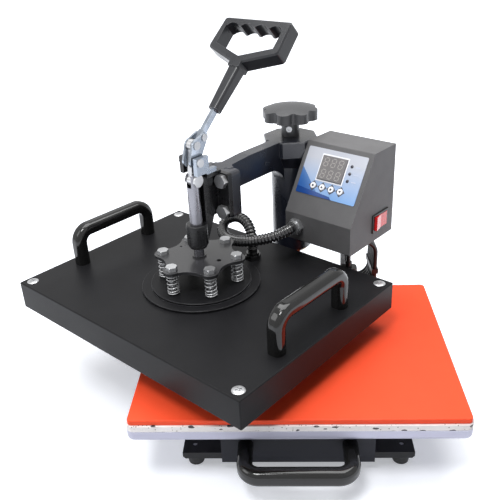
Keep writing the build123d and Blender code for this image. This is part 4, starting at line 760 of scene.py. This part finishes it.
class HEATPRESS_OT_stage(Operator):
    """Sets the pale floor, the soft studio lamps and the camera"""
    bl_idname = "heat_press.stage"
    bl_label = "Stage"

    def execute(self, context):
        values = settings().stage
        self.camera(context, values)
        self.floor(context, values)
        self.world(context)
        for name, spot, size, power in LAMPS:
            self.softbox(name, Vector(spot), size, power)
        return {"FINISHED"}

    def camera(self, context, values):
        """The photograph's viewpoint, measured from the pad's face."""
        lens = bpy.data.cameras.new("Camera")
        lens.lens = values.lens
        lens.sensor_width = 36
        camera = new_object("Camera", lens)
        look = Vector((sin(values.yaw) * cos(values.pitch), cos(values.yaw) * cos(values.pitch),
                       -sin(values.pitch)))
        turn = look.to_track_quat("-Z", "Y").to_matrix() @ Matrix.Rotation(values.roll, 3, "Z")
        camera.matrix_world = Matrix.Translation(PAD_CENTRE + Vector(values.offset)) @ turn.to_4x4()
        context.scene.camera = camera

    def floor(self, context, values):
        """A wide pale floor that keeps the shadow and shows white to the camera."""
        bpy.ops.mesh.primitive_plane_add(size=14, location=(0, 0, -0.0002))
        ground = context.object
        ground.name = "Floor"
        material, tree, shader = new_material("Pale floor")
        shader.inputs["Roughness"].default_value = 0.7
        drift = ramp(tree, noise(tree, surface_place(tree), 1.5), 0.3, 0.7)
        base = mix_colour(tree, drift, shade(values.floor, 0.99), shade(values.floor, 1.01))
        feed(tree, base, shader.inputs["Base Color"])
        far = ramp(tree, vector_node(tree, "LENGTH", surface_place(tree)), *GLOW_REACH)
        strength = math_node(tree, "MULTIPLY_ADD", far, GLOW_RISE, GLOW_NEAR)
        strength = math_node(tree, "MULTIPLY", background_rays(tree), strength)
        glow = new_node(tree, "Emission", {"Color": (0.93, 0.95, 1.0, 1), "Strength": strength})
        both = new_node(tree, "AddShader", {0: shader.outputs[0], 1: glow.outputs[0]})
        feed(tree, both.outputs[0], tree.nodes["Material Output"].inputs["Surface"])
        ground.data.materials.append(material)

    def world(self, context):
        """White to the camera and in reflections, and a dimmer fill for the object."""
        world = bpy.data.worlds.new("Studio")
        context.scene.world = world
        world.use_nodes = True
        tree = world.node_tree
        back = tree.nodes["Background"]
        back.inputs["Color"].default_value = (1, 1, 1, 1)
        strength = math_node(tree, "MULTIPLY_ADD", background_rays(tree), 1 - WORLD_FILL, WORLD_FILL)
        feed(tree, strength, back.inputs["Strength"])
        context.scene.view_settings.view_transform = "Standard"

    def softbox(self, name, spot, size, power):
        """One soft lamp aimed at the middle of the press."""
        lamp = bpy.data.lights.new(name, "AREA")
        lamp.shape = "RECTANGLE"
        lamp.size, lamp.size_y = size
        lamp.energy = power
        holder = new_object(name, lamp)
        turn = (Vector(LAMP_AIM) - spot).to_track_quat("-Z", "Y").to_matrix()
        holder.matrix_world = Matrix.Translation(spot) @ turn.to_4x4()


class HEATPRESS_OT_mains_cord(Operator):
    """Winds the mains cord from its strain relief through the hank to its plug"""
    bl_idname = "heat_press.mains_cord"
    bl_label = "Mains Cord"

    def execute(self, context):
        values = settings().cord
        relief_low, relief_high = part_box("cord_relief")
        self.across = ARM_X * cos(values.yaw) + ARM_Y * sin(values.yaw)
        self.along = -ARM_X * sin(values.yaw) + ARM_Y * cos(values.yaw)
        relief = (relief_low + relief_high) / 2
        relief.z = relief_low.z
        self.first = relief
        curve = route_curve("mains_cord_route", self.route(values))
        curve.bevel_depth = values.radius
        curve.bevel_resolution = 5
        curve.use_fill_caps = True
        cord = new_object("mains_cord", curve)
        curve.materials.append(made("Cord sheath"))
        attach(cord, "arm")
        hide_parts("mains_cord_hank")
        sleeve = self.strain_relief(relief, relief_high.z)
        return {"FINISHED"}

    def route(self, values):
        """Control points: down from the relief, then twelve or more to each turn."""
        half = values.run / 2
        middle = self.first + self.across * values.fold - self.along * values.pitch * values.turns / 2
        middle.z = self.first.z - HANK_DROP * MM
        bend = pi * values.fold
        around = 2 * bend + 2 * values.run
        offset = LAST_FOLD_SHIFT * MM
        reach = values.fold / cos(pi / 8)
        shares = (0.25, 0.75)
        turns = [eighths * pi / 8 for eighths in (1, 3, 5, 7)]
        lap = [(-values.fold, half - values.run * share, values.run * share) for share in shares]
        lap += [(-reach * cos(turn), -half - reach * sin(turn), values.run + values.fold * turn)
                for turn in turns]
        lap += [(values.fold, values.run * share - half, values.run * (1 + share) + bend)
                for share in shares]
        lap += [(reach * cos(turn), half + reach * sin(turn), 2 * values.run + bend + values.fold * turn)
                for turn in turns]
        points = [self.first.copy(), self.first - UP * CORD_LEAD * MM]
        for turn in range(values.turns):
            for side, height, distance in lap:
                whole = turn * around + distance
                if turn == 0 and distance < values.run / 2:
                    continue
                last = min(max(whole - values.turns * around + bend, 0) / bend, 1)
                shift = values.pitch * (values.turns / 2 - whole / around)
                shift -= offset * last ** 2 * (3 - 2 * last)
                points.append(middle + self.across * side + UP * height + self.along * shift)
        end = middle - self.across * values.fold - self.along * (values.pitch * values.turns / 2 + offset)
        slip = self.along * values.pitch / around
        points += [end + UP * half, end + UP * (half - CORD_TAIL * MM) - slip * CORD_TAIL * MM]
        return points

    def strain_relief(self, low, top):
        """Tapered sleeve with ribs, from the box's floor to the start of the cord."""
        rows = list(RELIEF_COLLAR)
        for k in range(RELIEF_RIBS):
            start = RELIEF_FIRST_RIB + RELIEF_RIB_PITCH * k
            swell = RELIEF_R - RELIEF_TAPER * k / RELIEF_RIBS
            rows += [(start + along, swell + out) for along, out in RELIEF_RIB]
        rows.append(((top - low.z) / MM, RELIEF_TIP_R))
        points = [Vector((low.x, low.y, top - distance * MM)) for distance, _ in rows]
        shape = tube(points, [radius * MM for _, radius in rows], 24)
        sleeve = add_skin("strain_relief_sleeve", shape, "Cord sheath", "arm")
        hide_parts("cord_relief")
        return sleeve


class HEATPRESS_OT_heater_hose(Operator):
    """Runs the ribbed hose from the control box to the head"""
    bl_idname = "heat_press.heater_hose"
    bl_label = "Heater Hose"

    def execute(self, context):
        values = settings().hose
        curve = route_curve("heater_hose_route", [on_arm(*spot) for spot in HOSE_ROUTE])
        step = values.pitch / POINTS_A_RIB
        line = evenly(curve_line(curve), step)
        bpy.data.curves.remove(curve)
        radii = [self.radius(values, k * step, len(line) * step) for k in range(len(line))]
        hose = add_skin("ribbed_hose", tube(line, radii, 28), "Hose plastic", smooth=True)
        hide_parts("heater_hose")
        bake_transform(hose)
        return {"FINISHED"}

    def radius(self, values, distance, length):
        """Radius of the hose: plain at its ends, ribbed between."""
        plain = values.plain
        if distance < plain or distance > length - plain:
            return plain
        wave = 0.5 + 0.5 * cos(2 * pi * (distance - plain) / values.pitch)
        return values.root + (values.outer - values.root) * sqrt(wave)


class HEATPRESS_OT_return_springs(Operator):
    """Winds the springs between the head and the spider"""
    bl_idname = "heat_press.return_springs"
    bl_label = "Return Springs"

    def execute(self, context):
        values = settings().springs
        low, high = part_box("return_springs")
        centre = on_arm(0, 0, 0)
        shapes = []
        for turn in SPRING_PLACES:
            turn = radians(turn)
            foot = centre + (ARM_X * cos(turn) + ARM_Y * sin(turn)) * SPRING_CIRCLE_R * MM
            points = self.helix(values, foot, low.z, high.z)
            shapes.append(tube(points, [values.wire] * len(points), 10))
        springs = add_skin("wound_springs", merge(shapes), "Zinc plating", smooth=True)
        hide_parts("return_springs")
        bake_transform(springs)
        return {"FINISHED"}

    def helix(self, values, foot, low, high):
        """Points along one spring, flattened at both ends."""
        steps = int(values.turns * 24)
        wire = values.wire
        points = []
        for k in range(steps + 1):
            share = k / steps
            rise = share - sin(2 * pi * share) / (2 * pi) * SPRING_END_FLATNESS
            turn = 2 * pi * values.turns * share
            points.append(Vector((foot.x + values.coil * cos(turn), foot.y + values.coil * sin(turn),
                                  low + wire + (high - low - 2 * wire) * rise)))
        return points


class HEATPRESS_OT_pads(Operator):
    """Lays the foam sheet and the silicone sheet on the tray"""
    bl_idname = "heat_press.pads"
    bl_label = "Pads"

    def execute(self, context):
        values = settings().pads
        low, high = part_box("foam_pad")
        sheet = rounded_sheet("foam_sheet", low, high, FOAM_CORNER_R * MM, values.foam_edge,
                              crown=-FOAM_DRAWN_IN * MM)
        piece = add_piece("foam_sheet", sheet, foam(), "base", smooth=False)
        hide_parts("foam_pad")
        sheet = rounded_sheet("silicone_sheet", PAD_LOW, PAD_HIGH, values.corner, values.edge)
        piece = add_piece("silicone_sheet", sheet, made("Silicone sheet"), "base")
        self.sharpen(piece)
        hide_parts("silicone_pad")
        return {"FINISHED"}

    def sharpen(self, piece):
        """Keeps the flat faces flat while the edges stay smooth."""
        for polygon in piece.data.polygons:
            polygon.use_smooth = len(polygon.vertices) == 4


class HEATPRESS_OT_cover_screws(Operator):
    """Puts cross-recessed screws in the cover's corners"""
    bl_idname = "heat_press.cover_screws"
    bl_label = "Cover Screws"

    def execute(self, context):
        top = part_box("heat_cover")[1].z
        half_x, half_y = SCREW_HALF_SPAN
        shapes = [self.head(on_arm(sx * half_x, sy * half_y, 0), top, radians(20 + 35 * (sx + sy)))
                  for sx in (-1, 1) for sy in (-1, 1)]
        screws = add_skin("cover_corner_screws", merge(shapes), "Zinc plating", "head")
        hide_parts("corner_screws")
        return {"FINISHED"}

    def head(self, spot, top, turn):
        """Domed head with a cross recess, built from rings that dip where the cross is."""
        steps, sides = 24, 72
        rings = []
        for radius in [SCREW_HEAD_R * k / steps for k in range(steps + 1)]:
            ring = []
            for j in range(sides):
                angle = 2 * pi * j / sides
                x, y = radius * cos(angle - turn), radius * sin(angle - turn)
                dome = SCREW_DOME * sqrt(max(0.0, 1 - (radius / 7.6) ** 2.6))
                narrow, wide = sorted((abs(x), abs(y)))
                cross = narrow < CROSS_HALF_WIDTH and wide < CROSS_REACH - 0.2 * narrow
                height = dome - (CROSS_DEPTH if cross else 0.0)
                ring.append(Vector((spot.x, spot.y, top)) +
                            Vector((radius * cos(angle), radius * sin(angle), height)) * MM)
            rings.append(ring)
        rings.append([Vector((point.x, point.y, top - SCREW_SINK * MM)) for point in rings[-1]])
        return join_rings(rings)


class HEATPRESS_OT_panel_marks(Operator):
    """Prints the marks of the panel and lights none of its digits"""
    bl_idname = "heat_press.panel_marks"
    bl_label = "Panel Marks"

    def execute(self, context):
        self.display()
        self.lamp_marks()
        self.button_marks()
        return {"FINISHED"}

    def display(self):
        """Frame line and unlit digits."""
        x, y = DISPLAY_CENTRE
        (wide, high), (half_x, half_y) = FRAME_BARS, FRAME_HALF
        bars = [rectangle(x, y + side * half_y, wide, FRAME_LINE) for side in (1, -1)]
        bars += [rectangle(x + side * half_x, y, FRAME_LINE, high) for side in (-1, 1)]
        add_skin("display_frame", plates(bars, BORDER), "White print", "arm")
        digits = []
        for row in DIGIT_ROWS:
            for column in DIGIT_COLUMNS:
                digits += self.digit(column, row, *DIGIT_SIZE)
        add_skin("display_digits", plates(digits, DIGIT), "Display segments", "arm")

    def digit(self, x, y, width, height):
        """Seven bars of one digit, leaning a little."""
        thick = 1.25
        bars = [rectangle(x, y + dy, width - thick * 1.3, thick) for dy in (-height / 2, 0.0, height / 2)]
        bars += [rectangle(x + dx, y + dy, thick, height / 2 - thick * 1.2)
                 for dx in (-width / 2, width / 2) for dy in (-height / 4, height / 4)]
        return [[(px + (py - y) * 0.10, py) for px, py in bar] for bar in bars]

    def lamp_marks(self):
        """Rings of the three lamps, each with a plain dash beside it."""
        rings = [disc(LAMP_X, rise, 2.2) for rise in LAMP_RISES]
        dashes = [rectangle(DASH_X, rise, 6.5 + k % 2, 1.3) for k, rise in enumerate(LAMP_RISES)]
        add_skin("lamp_lenses", plates(rings, LENS), "Dark print", "arm", smooth=True)
        add_skin("lamp_dashes", plates(dashes), "Grey print", "arm")

    def button_marks(self):
        """Printed diamond round each button, and a simple sign on its cap."""
        diamonds = [self.diamond(x, BUTTON_RISE, 4.6, 7.0) for x in BUTTON_PLACES]
        add_skin("button_print", merge(diamonds), "Dark print", "arm")
        signs = (disc(0, 0, 1.5), [(-2, -1.3), (2, -1.3), (0, 2)],
                 disc(0, 0, 1.5), [(-2, 1.3), (0, -2), (2, 1.3)])
        for word, place, sign in zip(("one", "two", "three", "four"), BUTTON_PLACES, signs):
            outline = [(place + x, BUTTON_RISE + y) for x, y in sign]
            add_skin("button_sign_" + word, plates([outline], SIGN), "Dark print", "button_" + word)

    def diamond(self, x, y, inner, outer):
        """A flat diamond with a round hole, as vertices and faces."""
        sides = 32
        spots, faces = [], []
        low, high = PRINT
        for k, (level, hole) in enumerate(((low, True), (low, False), (high, False), (high, True))):
            start, above = k * sides, (k + 1) % 4 * sides
            for j in range(sides):
                turn = 2 * pi * j / sides
                reach = inner if hole else outer / (abs(cos(turn)) + abs(sin(turn)))
                spots.append(on_panel(x + reach * cos(turn), y + reach * sin(turn), level))
                after = (j + 1) % sides
                faces.append((start + j, start + after, above + after, above + j))
        return spots, faces


# The pieces of the frame that get each finish
PLAN = (
    ("Black powder coat", "heat_cover pressure_discs"),
    ("Satin black", "spider_plate"),
    ("Frame coat", "base_beam front_cross_bar rear_cross_bar post_flange"),
    ("Front plate coat", "front_plate"),
    ("Arm enamel", "swing_arm"),
    (clamp_enamel, "clamp_body"),
    ("Handle plastic", "handle_left handle_right base_handle rocker_bezel"),
    ("Grip plastic", "hand_grip"),
    ("Knob plastic", "pressure_knob"),
    ("Zinc plating",
     "base_screws base_bolts clamp_bolts lever_pins box_screws box_hose_gland pressure_screw "
     "knob_set_screw plunger_pin plunger_nut yoke_rivets toggle_link corner_spacers spring_bolts "
     "handle_screws"),
    ("Blue zinc", "lever_yoke lever_bar"),
    ("Polished chrome", "swing_post"),
    ("Turned steel", "plunger"),
    ("Hose plastic", "head_hose_gland"),
    ("Oiled bronze", "swing_bushes"),
    ("Tray aluminium", "lower_platen"),
    ("Heater aluminium", "heating_plate"),
    ("Ceramic wool", "insulation_pad"),
    ("Black rubber", "rubber_feet"),
    ("Cord sheath", "mains_plug cord_tie"),
    ("Box paint", "control_box box_rear_cover"),
    (label_film, "panel_label"),
    ("Display face", "display_window"),
    ("Board green", "control_board"),
    ("Button plastic", "button_1 button_2 button_3 button_4"),
    ("Rocker plastic", "rocker_switch"),
)


class HEATPRESS_OT_finishes(Operator):
    """Gives each piece of the frame its finish"""
    bl_idname = "heat_press.finishes"
    bl_label = "Finishes"

    def execute(self, context):
        for finish_for, nodes in PLAN:
            material = finish_for() if callable(finish_for) else made(finish_for)
            for node in nodes.split():
                mesh = frame["nodes"][node].data
                mesh.materials.clear()
                mesh.materials.append(material)
        return {"FINISHED"}


STEPS = (HEATPRESS_OT_stage, HEATPRESS_OT_mains_cord, HEATPRESS_OT_heater_hose, HEATPRESS_OT_return_springs,
         HEATPRESS_OT_pads, HEATPRESS_OT_cover_screws, HEATPRESS_OT_panel_marks, HEATPRESS_OT_finishes)


class HEATPRESS_PT_sidebar(Panel):
    """Lists the steps that dress the press"""
    bl_idname = "HEATPRESS_PT_sidebar"
    bl_label = "Heat Press"
    bl_space_type = "VIEW_3D"
    bl_region_type = "UI"
    bl_category = "Heat Press"

    def draw(self, context):
        for step in STEPS:
            self.layout.operator(step.bl_idname)
        for group in GROUPS:
            box = self.layout.box()
            box.label(text=group.title())
            values = getattr(context.scene.heat_press, group)
            for name in values.bl_rna.properties.keys():
                if name not in ("rna_type", "name"):
                    box.prop(values, name)


CLASSES = (*GROUPS.values(), PressSettings, *STEPS, HEATPRESS_PT_sidebar)


def register():
    """Registers the classes and the scene's settings."""
    for cls in CLASSES:
        bpy.utils.register_class(cls)
    bpy.types.Scene.heat_press = PointerProperty(type=PressSettings)


def unregister():
    """Takes the classes and the settings out again."""
    del bpy.types.Scene.heat_press
    for cls in reversed(CLASSES):
        bpy.utils.unregister_class(cls)


def main():
    """Dresses the whole press."""
    register()
    for step in STEPS:
        group, name = step.bl_idname.split(".")
        getattr(getattr(bpy.ops, group), name)()


if __name__ == "__main__":
    main()
